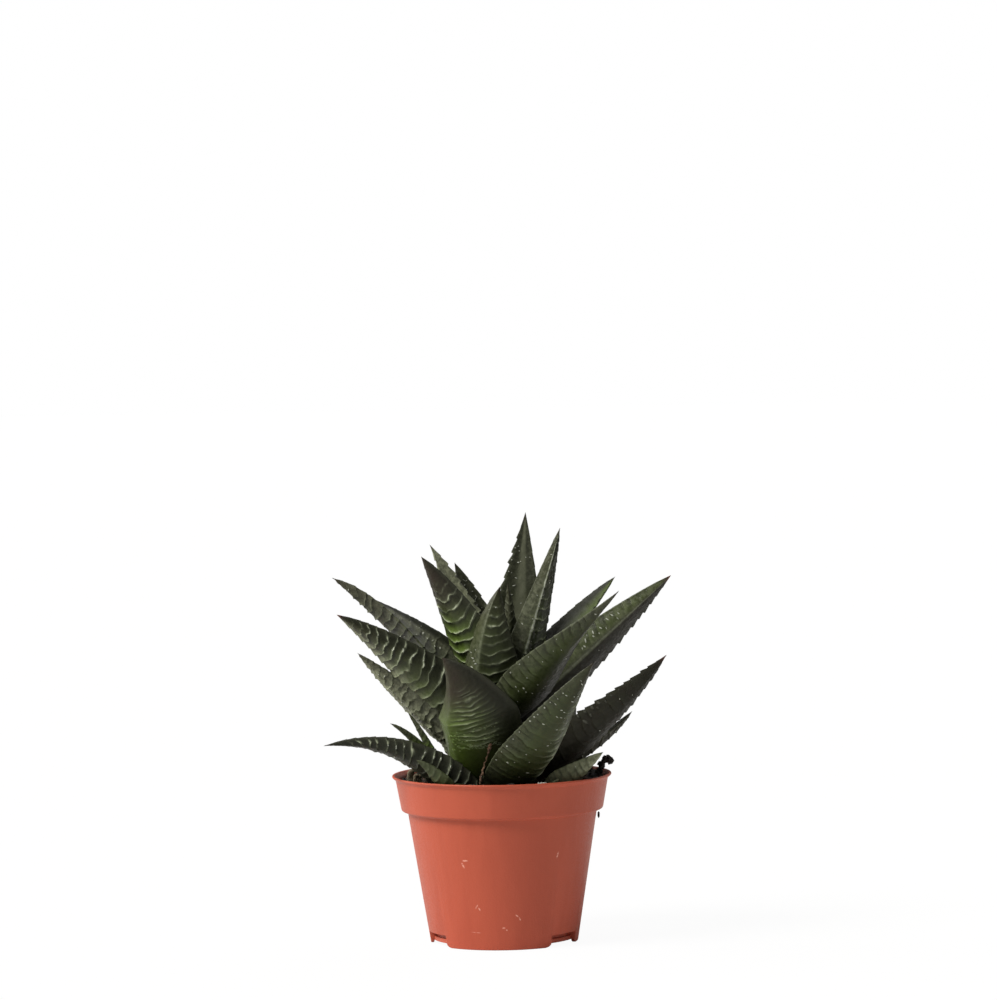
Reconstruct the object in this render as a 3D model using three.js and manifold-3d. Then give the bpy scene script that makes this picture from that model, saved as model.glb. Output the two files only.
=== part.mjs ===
// A potted haworthia: a rosette of thick, cross-ridged leaves on a short stem, in a small plastic pot.
// Millimetres, +Z up. The origin lies on the surface that the pot stands on, under the middle of the plant.
// The front, from which the leaves are best seen, faces -Y.
import * as THREE from 'three';
import { mergeVertices } from 'three/addons/utils/BufferGeometryUtils.js';
import Module from 'manifold-3d';

const wasm = await Module();
wasm.setup();

// Pot: outside sizes of a standard 85 mm by 65 mm nursery pot
const POT_HEIGHT = 65;
const LIP_RADIUS = 42.5;
const BAND_TOP_RADIUS = 41.1;
const BAND_BOTTOM_RADIUS = 39.2;
const BAND_BOTTOM = 51.2;
const BODY_TOP_RADIUS = 36.6;
const FOOT_RADIUS = 28.5;
const WALL = 0.9;
const POT_SIDES = 36;

// Base plate, held off the ground by the foot ring
const PLATE_UNDERSIDE = 1.8;
const PLATE_THICKNESS = 1.2;
const PLATE_TOP = PLATE_UNDERSIDE + PLATE_THICKNESS;

// Notches in the foot ring, and the drain slot in the base plate behind each
const NOTCHES = 3;
const NOTCH_AZIMUTH = 54;
const NOTCH_ARC = 31;
const NOTCH_HEIGHT = 4.8;
const NOTCH_BACK_RADIUS = 26.4;
const PLATE_RIM_RADIUS = 27.4;
const DRAIN_RADIUS = 2.6;
const DRAIN_CENTRE = 20;

// Soil
const GAP = 0.3;
const SOIL_EDGE = 62.4;
const SOIL_MIDDLE = 61.6;
const SOIL_SIDES = 18;
const SOIL_RINGS = 4;
const SOIL_LUMP = 0.9;
const FIBRE_RADIUS = 1.1;

// Stem, leaning slightly to the right as the crown does
const STEM_BOTTOM = 34;
const STEM_TOP = 100;
const STEM_BOTTOM_RADIUS = 3.2;
const STEM_TOP_RADIUS = 3.6;
const STEM_LEAN = 3;

// Leaf form, the same for every leaf
const EDGE_HALF_THICKNESS = 0.35;
const BELLY_RATIO = 0.6;
const HOLLOW_RATIO = 0.16;
const RIDGE_HEIGHT = 0.45;
const RIDGE_PITCH = 4.9;
const TOOTH = 0.35;
const CLEARANCE = 0.6;

// Cut edges are cleared of steps smaller than this
const SMALLEST_STEP = 0.03;

const degrees = THREE.MathUtils.degToRad;
const vector = (p) => new THREE.Vector3(p[0], p[1], p[2]);

// Repeatable random numbers from 0 to 1
function randomFrom(seed) {
  let state = seed;
  return () => {
    state = (state * 16807) % 2147483647;
    return state / 2147483647;
  };
}

// A closed three.js geometry as a solid that can be joined and cut
function solidOf(geometry) {
  const bare = geometry.clone();
  bare.deleteAttribute('normal');
  bare.deleteAttribute('uv');
  const merged = mergeVertices(bare, 1e-4);
  return new wasm.Manifold(new wasm.Mesh({
    numProp: 3,
    vertProperties: merged.attributes.position.array,
    triVerts: new Uint32Array(merged.index.array),
  }));
}

function geometryOf(solid) {
  const mesh = solid.getMesh();
  const geometry = new THREE.BufferGeometry();
  geometry.setAttribute('position', new THREE.BufferAttribute(mesh.vertProperties, 3));
  geometry.setIndex(new THREE.BufferAttribute(mesh.triVerts, 1));
  const faceted = geometry.toNonIndexed();
  faceted.computeVertexNormals();
  return faceted;
}

// A cut can leave crumbs behind: the piece itself is the largest body.
function largestBody(solid) {
  const bodies = solid.decompose();
  return bodies.reduce((a, b) => (b.volume() > a.volume() ? b : a)).simplify(SMALLEST_STEP);
}

function middleOf(points) {
  const sum = points.reduce((total, point) => total.add(point), new THREE.Vector3());
  return sum.divideScalar(points.length);
}

// Closed surface through rings of points: flat at its start, with a fan to the last point at its end
function loft(rings, last) {
  const first = middleOf(rings[0]);
  const count = rings[0].length;
  const points = [first, ...rings.flat(), last];
  const triangles = [];
  const at = (ring, i) => 1 + ring * count + (i % count);
  for (let i = 0; i < count; i++) {
    triangles.push(0, at(0, i + 1), at(0, i));
    triangles.push(points.length - 1, at(rings.length - 1, i), at(rings.length - 1, i + 1));
  }
  for (let ring = 0; ring < rings.length - 1; ring++) {
    for (let i = 0; i < count; i++) {
      triangles.push(at(ring, i), at(ring, i + 1), at(ring + 1, i + 1));
      triangles.push(at(ring, i), at(ring + 1, i + 1), at(ring + 1, i));
    }
  }
  const geometry = new THREE.BufferGeometry().setFromPoints(points);
  geometry.setIndex(triangles);
  return geometry;
}

// The middle line of a leaf: a parabola through its root, middle and tip
function lineOf(leaf) {
  const [root, middle, tip] = [leaf.root, leaf.middle, leaf.tip].map(vector);
  const point = (t) => new THREE.Vector3()
    .addScaledVector(root, (1 - t) * (1 - 2 * t))
    .addScaledVector(middle, 4 * t * (1 - t))
    .addScaledVector(tip, t * (2 * t - 1));
  const slope = (t) => new THREE.Vector3()
    .addScaledVector(root, 4 * t - 3)
    .addScaledVector(middle, 4 - 8 * t)
    .addScaledVector(tip, 4 * t - 1);
  let length = 0;
  for (let i = 0; i < 40; i++) length += slope((i + 0.5) / 40).length() / 40;
  return { point, slope, length };
}

// Half the width of the blade: it swells from the root, then narrows to a sharp tip.
function halfWidth(leaf, t) {
  const { width, widest = 0.3, taper = 1.25, foot = 0.55 } = leaf;
  const swell = foot + (1 - foot) * Math.sin((Math.min(t / widest, 1) * Math.PI) / 2);
  const narrow = 1 - Math.max((t - widest) / (1 - widest), 0) ** taper;
  return 0.5 * width * swell * narrow;
}

// One point of the skin. across runs from -1 to 1 over the width, side is 1 on the flat upper face,
// -1 on the round keeled underside, and lift raises the skin.
function skin(leaf, line, t, across, side, lift) {
  const { azimuth, roll = 0, twist = 0, belly = BELLY_RATIO, hollow = HOLLOW_RATIO, keel = 0 } = leaf;
  const along = line.slope(t).normalize();
  const tangent = new THREE.Vector3(Math.cos(degrees(azimuth)), Math.sin(degrees(azimuth)), 0);
  const lateral = tangent.addScaledVector(along, -tangent.dot(along)).normalize();
  lateral.applyAxisAngle(along, degrees(roll + twist * t ** 2));
  const upward = new THREE.Vector3().crossVectors(along, lateral);
  const half = halfWidth(leaf, t);
  const edge = EDGE_HALF_THICKNESS * Math.min(1, (1 - t) * 12);
  const fromKeel = Math.abs(across - keel) / (1 - keel * Math.sign(across - keel));
  const round = 1 - Math.min(fromKeel, 1) ** (1.9 - 0.5 * t);
  const under = -edge - half * belly * round - lift * (1 - 0.4 * across ** 2);
  const upper = edge - half * hollow * (1 - across ** 2) + lift;
  return line.point(t)
    .addScaledVector(lateral, across * (half + lift))
    .addScaledVector(upward, side > 0 ? upper : under);
}

// Places of the ring's points: over the underside from one edge to the other, then back over the top
const UNDER = [-1, -0.5, 0, 0.5, 1];
const UPPER = [1, 0, -1];

function ring(leaf, line, t, ridge, grow) {
  const bow = (leaf.bow ?? 1.6) / line.length;
  const under = UNDER.map((across) => {
    const shifted = Math.max(t - bow * (1 - across ** 2) * (t > 0.05 ? 1 : 0), 0);
    const tooth = Math.abs(across) === 1 ? TOOTH : RIDGE_HEIGHT;
    return skin(leaf, line, shifted, across, -1, grow + ridge * tooth);
  });
  const upper = UPPER.map((across) => {
    const tooth = Math.abs(across) === 1 ? TOOTH : 0;
    return skin(leaf, line, t, across, 1, grow + ridge * tooth);
  });
  return [...under, ...upper];
}

// The leaf: a ring on each ridge and in each trough between two ridges
function leafGeometry(leaf) {
  const line = lineOf(leaf);
  const { pitch = RIDGE_PITCH, firstRidge = 0.16, lastRidge = 0.86 } = leaf;
  const step = pitch / line.length;
  const rings = [ring(leaf, line, 0, 0, 0)];
  for (let crest = firstRidge; crest < lastRidge; crest += step) {
    rings.push(ring(leaf, line, crest - 0.5 * step, -0.15, 0));
    rings.push(ring(leaf, line, crest, 1 - 0.5 * crest, 0));
  }
  rings.push(ring(leaf, line, 0.93, 0, 0));
  return loft(rings, line.point(1));
}

// The room that a leaf and its ridges need, which is cut from the leaves outside it
function leafRoom(leaf) {
  const line = lineOf(leaf);
  const steps = [0, 0.1, 0.24, 0.42, 0.6, 0.8];
  const rings = steps.map((t) => ring({ ...leaf, bow: 0 }, line, t, 0, RIDGE_HEIGHT + CLEARANCE));
  const behind = line.slope(0).normalize().multiplyScalar(-CLEARANCE);
  for (const point of rings[0]) point.add(behind);
  const beyond = line.slope(1).normalize().multiplyScalar(2 * CLEARANCE);
  return loft(rings, line.point(1).add(beyond));
}

// Leaves that show from the front, from the crown down. Azimuth is measured from the front to the right,
// and roll turns a blade about its middle line.
const NEAR_LEAVES = [
  { name: 'leaf_01', azimuth: 0, root: [2, 0, 97.5], middle: [4, -3, 120], tip: [3.5, -5, 139], width: 6 },
  { name: 'leaf_02', azimuth: 180, root: [3, 3, 97], middle: [7.4, 8, 127], tip: [11, 12, 165.5],
    width: 25, taper: 1.05 },
  { name: 'leaf_03', azimuth: -10, root: [-0.5, -4, 88], middle: [-3, -13, 114], tip: [0.5, -15, 138.5],
    width: 21, widest: 0.35, keel: -0.45 },
  { name: 'leaf_04', azimuth: 30, root: [4.5, -1, 97.5], middle: [15, -8, 131], tip: [24, -12, 160.5],
    width: 15, taper: 1.05, keel: -0.35 },
  { name: 'leaf_05', azimuth: -35, roll: 10, root: [-2.5, -2, 97.5], middle: [-15.5, -9, 127.5],
    tip: [-29.5, -13, 150.5], width: 18.8, taper: 1.3 },
  { name: 'leaf_06', azimuth: -145, root: [-2, 3, 97], middle: [-13, 9, 127.5], tip: [-26.5, 13, 153.5],
    width: 14, taper: 1.15 },
  { name: 'leaf_07', azimuth: -150, root: [-1, 4, 97], middle: [-8, 12, 123], tip: [-17, 18, 146],
    width: 18 },
  { name: 'leaf_08', azimuth: -80, roll: -38, twist: 70, root: [-4, 0, 95.5], middle: [-34, -4, 123.6],
    tip: [-64, -8, 142.5], width: 20, belly: 0.98 },
  { name: 'leaf_09', azimuth: 130, root: [2, 3, 93], middle: [26, 11, 119.8], tip: [45.5, 16, 139.5],
    width: 20 },
  { name: 'leaf_10', azimuth: 80, roll: -50, root: [4.5, 0, 87.5], middle: [38.2, -6, 117.5],
    tip: [66.5, -10, 141.5], width: 21.5, keel: -0.35, belly: 0.7 },
  { name: 'leaf_11', azimuth: 50, roll: -35, twist: 60, root: [0, -6, 87], middle: [20, -22, 112.6],
    tip: [46, -32, 137.5], width: 21 },
  { name: 'leaf_12', azimuth: -65, roll: 60, root: [-4.5, -3, 80.5], middle: [-35, -17, 110.3],
    tip: [-62, -24, 129.5], width: 21, widest: 0.25, taper: 1.15 },
  { name: 'leaf_13', azimuth: -80, roll: 40, root: [-4.5, -2, 68.5], middle: [-32.5, -10, 94],
    tip: [-54.5, -16, 114], width: 16 },
  { name: 'leaf_14', azimuth: -15, root: [-6, -8, 61], middle: [-8.6, -26, 91.5], tip: [-22, -32, 113],
    width: 32, widest: 0.5, foot: 0.85, taper: 1, keel: -0.6, pitch: 3.2, belly: 0.5 },
  { name: 'leaf_15', azimuth: 75, roll: -40, root: [4, 0, 62.5], middle: [37.5, -12, 87],
    tip: [64, -18, 111.5], width: 20 },
  { name: 'leaf_16', azimuth: 35, root: [0, -8, 60.5], middle: [17, -34, 87], tip: [35.5, -47, 111.5],
    width: 28, foot: 0.75, pitch: 3.6 },
  { name: 'leaf_17', azimuth: 95, root: [5, 3, 61], middle: [33.5, 3, 75.5], tip: [51, 4, 88],
    width: 14 },
  { name: 'leaf_18', azimuth: -60, roll: 45, root: [-4, -15, 49], middle: [-34, -21.5, 75.2],
    tip: [-68, -22, 79], width: 14.2 },
];

// Leaves of the far side, in four tiers. Each tier starts at an azimuth and goes round by equal steps.
const FAR_TIERS = [
  { count: 2, azimuth: 163, step: 38, rootHeight: 92, reach: 30, tipHeight: 135, width: 17 },
  { count: 3, azimuth: 148, step: 30, rootHeight: 82, reach: 40, tipHeight: 117, width: 19 },
  { count: 3, azimuth: 160, step: 28, rootHeight: 72, reach: 45, tipHeight: 101, width: 20 },
  { count: 4, azimuth: 143, step: 24, rootHeight: 62.5, reach: 49, tipHeight: 86, width: 20 },
];
const FAR_ROOT_RADIUS = 3;
const FAR_BULGE = 0.6;
const FAR_PITCH = 6;
const FAR_FOOT = 0.8;
const FAR_SEED = 29;

function farLeaves() {
  const random = randomFrom(FAR_SEED);
  const leaves = [];
  for (const tier of FAR_TIERS) {
    for (let i = 0; i < tier.count; i++) {
      const azimuth = tier.azimuth + i * tier.step + 4 * (random() - 0.5);
      const [outX, outY] = [Math.sin(degrees(azimuth)), -Math.cos(degrees(azimuth))];
      const reach = tier.reach - 3 * random();
      const rise = tier.tipHeight - tier.rootHeight;
      leaves.push({
        name: `leaf_${NEAR_LEAVES.length + leaves.length + 1}`,
        azimuth,
        root: [FAR_ROOT_RADIUS * outX + 1, FAR_ROOT_RADIUS * outY, tier.rootHeight],
        middle: [
          FAR_BULGE * reach * outX + 1,
          FAR_BULGE * reach * outY,
          tier.rootHeight + 0.45 * rise,
        ],
        tip: [reach * outX + 1, reach * outY, tier.tipHeight + 4 * (random() - 0.5)],
        width: tier.width,
        foot: FAR_FOOT,
        pitch: FAR_PITCH,
      });
    }
  }
  return leaves;
}

// Side shoots: a few small leaves fused on a short stem of their own
const OFFSETS = [
  { name: 'offset_left', stem: [-21, -5], leaves: [
    { azimuth: -60, root: [-21, -6, 62], middle: [-28, -10, 78], tip: [-35.5, -14, 90.5], width: 5.5 },
    { azimuth: -70, roll: 30, root: [-21, -5, 62], middle: [-32, -10, 78], tip: [-42.5, -14, 86.5],
      width: 5.5 },
    { azimuth: -120, root: [-21, -4, 62], middle: [-28, 1, 74], tip: [-37, 4, 80], width: 6 },
  ] },
  { name: 'offset_front', stem: [-17, -26], leaves: [
    { azimuth: -40, root: [-17.5, -26, 59], middle: [-25, -30, 68.5], tip: [-32.5, -31, 74], width: 9 },
    { azimuth: 20, root: [-16, -26, 59], middle: [-13.5, -28, 62], tip: [-11, -29.5, 64], width: 5 },
  ] },
  { name: 'offset_right', stem: [18, -19], leaves: [
    { azimuth: 55, roll: -35, root: [17, -19, 59], middle: [27.5, -21, 67], tip: [39, -23, 75],
      width: 12 },
    { azimuth: 20, root: [18, -20, 59], middle: [20, -26, 63], tip: [22, -30, 65.5], width: 6 },
  ] },
];
const OFFSET_STEM_RADIUS = 2.6;
const OFFSET_STEM_BOTTOM = 50;
const OFFSET_STEM_TOP = 64;
const OFFSET_PITCH = 5.5;

// A dried bract, a thin twisted strip that stands in the axil between two front leaves
const BRACT_LINE = [
  [-4, -28, 79.5], [-4.9, -26.4, 76], [-6.2, -24.5, 72.2], [-7.4, -23.8, 68], [-8.2, -23.8, 63.4],
];
const BRACT_WIDTH = 1.3;
const BRACT_THICKNESS = 0.7;

// The pot's wall as a closed outline turned round the axis, from the base plate's underside round the lip
function potBody() {
  const outline = [
    [0, PLATE_UNDERSIDE],
    [PLATE_RIM_RADIUS, PLATE_UNDERSIDE],
    [PLATE_RIM_RADIUS, 0],
    [FOOT_RADIUS, 0],
    [BODY_TOP_RADIUS, BAND_BOTTOM - 0.4],
    [BODY_TOP_RADIUS + 0.4, BAND_BOTTOM],
    [BAND_BOTTOM_RADIUS - 0.9, BAND_BOTTOM],
    [BAND_BOTTOM_RADIUS - 0.2, BAND_BOTTOM + 0.4],
    [BAND_BOTTOM_RADIUS, BAND_BOTTOM + 1.4],
    [BAND_TOP_RADIUS, POT_HEIGHT - 1.8],
    [LIP_RADIUS - 0.3, POT_HEIGHT - 0.9],
    [LIP_RADIUS, POT_HEIGHT - 0.5],
    [LIP_RADIUS - 0.2, POT_HEIGHT],
    [LIP_RADIUS - 0.9, POT_HEIGHT],
    [BAND_TOP_RADIUS - WALL, POT_HEIGHT - 1.6],
    [BAND_BOTTOM_RADIUS - WALL, BAND_BOTTOM + 1.8],
    [BODY_TOP_RADIUS - WALL, BAND_BOTTOM + 0.8],
    [FOOT_RADIUS - WALL + 1.0, NOTCH_HEIGHT + 2],
    [NOTCH_BACK_RADIUS - WALL, NOTCH_HEIGHT + 1],
    [NOTCH_BACK_RADIUS - WALL, PLATE_TOP],
    [0, PLATE_TOP],
  ];
  const profile = outline.map(([r, z]) => new THREE.Vector2(r, z));
  return solidOf(new THREE.LatheGeometry(profile, POT_SIDES).rotateX(Math.PI / 2));
}

// A sector of a ring round the axis, from one height to another, with its middle at an azimuth
function ringSector(azimuth, arc, inner, outer, bottom, top) {
  const from = degrees(azimuth - 90 - arc / 2);
  const to = degrees(azimuth - 90 + arc / 2);
  const outline = new THREE.Shape();
  outline.absarc(0, 0, outer, from, to, false);
  outline.absarc(0, 0, inner, to, from, true);
  const geometry = new THREE.ExtrudeGeometry(outline, {
    depth: top - bottom,
    bevelEnabled: false,
    curveSegments: 8,
  });
  return solidOf(geometry.translate(0, 0, bottom));
}

// The notches leave the base plate's rim standing under the recess, and drain through it behind.
function pot() {
  let body = potBody();
  for (let i = 0; i < NOTCHES; i++) {
    const azimuth = NOTCH_AZIMUTH + (i * 360) / NOTCHES;
    const out = degrees(azimuth - 90);
    const recess = ringSector(azimuth, NOTCH_ARC, NOTCH_BACK_RADIUS, LIP_RADIUS, PLATE_TOP, NOTCH_HEIGHT);
    const foot = ringSector(azimuth, NOTCH_ARC, PLATE_RIM_RADIUS - 0.01, LIP_RADIUS, -1, PLATE_TOP + 0.1);
    const drain = new THREE.CylinderGeometry(DRAIN_RADIUS, DRAIN_RADIUS, 4, 10).rotateX(Math.PI / 2);
    drain.translate(DRAIN_CENTRE * Math.cos(out), DRAIN_CENTRE * Math.sin(out), PLATE_TOP - 1);
    body = body.subtract(recess).subtract(foot).subtract(solidOf(drain));
  }
  return body;
}

// Height of the soil's surface: it rises to the stem and to the right behind, with soft lumps.
function soilHeight(x, y) {
  const distance = Math.hypot(x, y) / BAND_TOP_RADIUS;
  const mound = SOIL_MIDDLE + (SOIL_EDGE - SOIL_MIDDLE) * distance ** 2;
  const lumps = Math.sin(0.45 * x + 1.3) * Math.cos(0.4 * y + 0.4) + 0.6 * Math.sin(0.8 * x - 0.7 * y);
  const heap = 2.6 * Math.exp(-((x - 31) ** 2 + (y - 17) ** 2) / 120);
  return mound + heap + SOIL_LUMP * lumps * (1 - 0.5 * distance);
}

// The soil fills the pot, a gap clear of its wall.
function soilBody() {
  const outline = [
    [0, PLATE_TOP + GAP],
    [NOTCH_BACK_RADIUS - WALL - GAP, PLATE_TOP + GAP],
    [NOTCH_BACK_RADIUS - WALL - GAP, NOTCH_HEIGHT + 1.2],
    [FOOT_RADIUS - WALL + 1.0 - GAP, NOTCH_HEIGHT + 2.3],
    [BODY_TOP_RADIUS - WALL - GAP, BAND_BOTTOM + 1.2],
    [BAND_BOTTOM_RADIUS - WALL - GAP, BAND_BOTTOM + 2.2],
    [BAND_TOP_RADIUS - WALL - 0.6, SOIL_EDGE],
  ];
  const top = outline[outline.length - 1][0];
  for (let ring = SOIL_RINGS - 1; ring >= 0; ring--) outline.push([(top * ring) / SOIL_RINGS, SOIL_EDGE]);
  const profile = outline.map(([r, z]) => new THREE.Vector2(r, z));
  const geometry = new THREE.LatheGeometry(profile, SOIL_SIDES).rotateX(Math.PI / 2);
  const position = geometry.attributes.position;
  for (let i = 0; i < position.count; i++) {
    if (position.getZ(i) > SOIL_EDGE - 0.01) {
      position.setZ(i, soilHeight(position.getX(i), position.getY(i)));
    }
  }
  return solidOf(geometry);
}

// A bit of bark fibre that curls up out of the soil at the right
function fibre() {
  const curl = new THREE.CatmullRomCurve3([
    [37.3, 7, 60], [38.2, 7, 66], [39.2, 7, 68.8], [40.2, 7, 70.6], [41.6, 7, 70.9], [42.6, 7, 69.8],
  ].map(vector));
  const section = new THREE.Shape();
  section.absarc(0, 0, FIBRE_RADIUS, 0, 2 * Math.PI, false);
  return solidOf(new THREE.ExtrudeGeometry(section, {
    steps: 9,
    curveSegments: 3,
    bevelEnabled: false,
    extrudePath: curl,
  }));
}

function bract() {
  const line = new THREE.CatmullRomCurve3(BRACT_LINE.map(vector));
  const rings = [0, 0.25, 0.5, 0.75, 1].map((t) => {
    const turn = 0.5 + 1.6 * t;
    const wide = 0.5 * BRACT_WIDTH * (0.6 + 0.4 * t);
    const point = line.getPoint(t);
    return [[1, 0], [0, -1], [-1, 0], [0, 1]].map(([u, v]) => point.clone().add(new THREE.Vector3(
      u * wide * Math.cos(turn) - v * 0.5 * BRACT_THICKNESS * Math.sin(turn),
      u * wide * Math.sin(turn) + v * 0.5 * BRACT_THICKNESS * Math.cos(turn),
      0,
    )));
  });
  return solidOf(loft(rings, line.getPoint(1)));
}

function taperedStem(centres, radii) {
  const rings = centres.map((centre, i) => Array.from({ length: 8 }, (_, k) => {
    const angle = (k * Math.PI) / 4;
    return new THREE.Vector3(
      centre[0] + radii[i] * Math.cos(angle),
      centre[1] + radii[i] * Math.sin(angle),
      centre[2],
    );
  }));
  return solidOf(loft(rings, vector(centres[centres.length - 1])));
}

// The plant's stem, and the same with room round it
function stem(room) {
  const bottom = [0, 0, STEM_BOTTOM - room];
  const top = [STEM_LEAN, 0.5, STEM_TOP + room];
  return taperedStem([bottom, top], [STEM_BOTTOM_RADIUS + room, STEM_TOP_RADIUS + room]);
}

function offset({ stem: [x, y], leaves }, room) {
  const core = taperedStem(
    [[x, y, OFFSET_STEM_BOTTOM - room], [x, y, OFFSET_STEM_TOP + room]],
    [OFFSET_STEM_RADIUS * 0.6 + room, OFFSET_STEM_RADIUS + room],
  );
  const blades = leaves.map((leaf) => {
    const small = { pitch: OFFSET_PITCH, belly: 0.7, ...leaf };
    return solidOf(room ? leafRoom(small) : leafGeometry(small));
  });
  return blades.reduce((body, blade) => body.add(blade), core);
}

const leafGreen = new THREE.MeshStandardMaterial({ color: 0x3d4a2e, roughness: 0.5, metalness: 0 });
const offsetGreen = new THREE.MeshStandardMaterial({ color: 0x4a5a33, roughness: 0.5, metalness: 0 });
const bractBrown = new THREE.MeshStandardMaterial({ color: 0x8a5a4a, roughness: 0.8, metalness: 0 });
const stemBrown = new THREE.MeshStandardMaterial({ color: 0x5b5138, roughness: 0.8, metalness: 0 });
const soilBrown = new THREE.MeshStandardMaterial({ color: 0x1d1612, roughness: 1, metalness: 0 });
const potPlastic = new THREE.MeshStandardMaterial({ color: 0xb85a42, roughness: 0.6, metalness: 0 });

const group = new THREE.Group();

function add(name, solid, material) {
  const mesh = new THREE.Mesh(geometryOf(solid), material);
  mesh.name = name;
  group.add(mesh);
}

add('pot', pot(), potPlastic);
add('stem', stem(0), stemBrown);

// Each piece gives way to the pieces inside it, so the leaves are set from the crown down.
const rooms = [stem(GAP)];
const cutClear = (solid) => largestBody(rooms.reduce((body, room) => body.subtract(room), solid));

const leaves = [...NEAR_LEAVES, ...farLeaves()].sort((a, b) => b.root[2] - a.root[2]);
for (const leaf of leaves) {
  add(leaf.name, cutClear(solidOf(leafGeometry(leaf))), leafGreen);
  rooms.push(solidOf(leafRoom(leaf)));
}
for (const shoot of OFFSETS) {
  add(shoot.name, cutClear(offset(shoot, 0)), offsetGreen);
  rooms.push(offset(shoot, GAP));
}
add('bract', bract(), bractBrown);
add('soil', cutClear(soilBody().add(fibre())), soilBrown);

export default group;
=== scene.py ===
import math

import bmesh
import bpy
import numpy as np
from mathutils import Matrix, Vector


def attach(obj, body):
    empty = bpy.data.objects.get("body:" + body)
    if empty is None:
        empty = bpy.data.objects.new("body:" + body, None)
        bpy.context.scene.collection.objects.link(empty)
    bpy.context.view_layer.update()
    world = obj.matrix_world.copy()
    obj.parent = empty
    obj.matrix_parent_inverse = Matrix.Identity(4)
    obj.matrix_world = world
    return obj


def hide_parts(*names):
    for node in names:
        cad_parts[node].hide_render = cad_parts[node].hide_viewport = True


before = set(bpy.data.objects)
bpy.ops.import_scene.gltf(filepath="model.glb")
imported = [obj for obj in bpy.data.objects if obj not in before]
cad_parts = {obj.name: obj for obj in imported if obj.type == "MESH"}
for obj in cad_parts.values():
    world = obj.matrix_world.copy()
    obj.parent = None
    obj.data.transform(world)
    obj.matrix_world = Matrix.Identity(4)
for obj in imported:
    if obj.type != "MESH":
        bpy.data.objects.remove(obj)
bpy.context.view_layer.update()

bl_info = {
    "name": "Potted Haworthia",
    "version": (1, 0, 0),
    "blender": (4, 5, 0),
    "location": "View3D > Sidebar > Haworthia",
    "description": "Builds a cross-ridged haworthia in its nursery pot, round the packed solids",
    "category": "Add Mesh",
}

# Every size below is in millimetres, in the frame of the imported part; MM turns it into metres.
MM = 0.001

# Pot
POT_HEIGHT = 65.0
LIP_RADIUS = 42.5
BAND_TOP_RADIUS = 41.1
BAND_BOTTOM_RADIUS = 39.2
BAND_BOTTOM = 51.2
BODY_TOP_RADIUS = 36.6
FOOT_RADIUS = 28.5
WALL = 0.9
PLATE_UNDERSIDE = 1.8
PLATE_TOP = 3.0
NOTCHES = 3
NOTCH_AZIMUTH = 54.0
NOTCH_ARC = 31.0
NOTCH_HEIGHT = 4.8
FOOT_CORNER_LENGTH = 3.4
FOOT_CORNER_HEIGHT = 1.6
FOOT_CORNER_STEPS = 10
NOTCH_BACK_RADIUS = 26.4
PLATE_RIM_RADIUS = 27.4
DRAIN_RADIUS = 2.6
DRAIN_CENTRE = 20.0
POT_SEGMENTS = 160
CORNER_RADIUS = 0.4
CORNER_STEPS = 4
EDGE_BEVEL = 0.18
BEVEL_ANGLE = math.radians(50)
SMOOTH_ANGLE = math.radians(40)
NOTCH_STEPS = 24

# Centre, turn and half sizes of the rubbed marks on the pot's front
SCUFFS = (
    ((-14.6, -31.5, 35.0), 0.0, (1.4, 6, 0.45)),
    ((-15.4, -31.5, 33.2), -0.5, (0.45, 6, 1.6)),
    ((20.8, -28, 36.2), 0.3, (0.4, 6, 1.7)),
    ((-10.4, -31, 17.2), 0.5, (0.35, 6, 1.3)),
    ((-9.4, -31, 16.2), -0.5, (0.4, 6, 0.9)),
    ((5.0, -31, 13.4), 0.7, (1.1, 6, 0.35)),
    ((6.0, -31, 12.2), 1.2, (0.9, 6, 0.4)),
    ((-0.2, -31, 8.8), 0.1, (0.9, 6, 0.45)),
    ((0.9, -31, 8.0), 0.6, (0.5, 6, 0.4)),
    ((-11.0, -31, 7.0), 0.05, (3.2, 6, 0.3)),
    ((-16.4, -31, 8.2), 0.0, (0.5, 6, 0.45)),
)

# Soil. Its surface is a shallow mound with broad lumps, and a finer relief of the given height and span.
GAP = 0.3
SOIL_EDGE = 62.4
SOIL_MIDDLE = 61.6
SOIL_LUMP = 0.9
SOIL_RELIEF = 0.8
SOIL_RELIEF_SPAN = 5
SOIL_RINGS = 64
SOIL_SEGMENTS = 150
SOIL_SEED = 11
SOIL_NOISE_SEED = 12
CRUMBS = 900
CRUMB_SIZES, CRUMB_SIZE_SHARES = (0.45, 0.7, 1.1, 1.7), (0.4, 0.35, 0.18, 0.07)
CRUMB_TONES, CRUMB_TONE_SHARES = (0.05, 0.3, 0.9), (0.72, 0.2, 0.08)
STRANDS = 70

# The curled fibre at the right, which hangs a little lower in its fine form
FIBRE_LINE = (
    (37.3, 7, 60), (38.2, 7, 66), (39.2, 7, 68.8), (40.2, 7, 70.6), (41.6, 7, 70.9), (42.6, 7, 69.8))
FIBRE_RADIUS = 1.1
FIBRE_STEPS = 44
FIBRE_DROOP = 0.16

# Place, height and radius of the bits of bark at the left
CHIPS = (((-35, -9, 64.2), 3.6, 1.5), ((-33, -11, 64), 2.2, 1.1), ((-31.5, -7, 64), 1.6, 0.9))

# Pale grains at the front: how many, where, how far they are strewn, and the half widths and height of
# the heap that they lie on
GRAINS = 60
GRIT_PLACE = (16.5, -31.5)
GRIT_SPREAD = (2.1, 1.0)
GRIT_HEAP = (3.2, 1.6, 2.1)

# The crumb that sticks to the pot under the band
SPECK_PLACE = (37.2, -2.2, 48.7)
SPECK_SIZE = (0.5, 0.7, 1.5)

# Stem
STEM_BOTTOM = 34.0
STEM_TOP = 100.0
STEM_BOTTOM_RADIUS = 3.2
STEM_TOP_RADIUS = 3.6
STEM_LEAN = (3.0, 0.5)
STEM_RINGS = 130
STEM_SEED = 3

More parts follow.
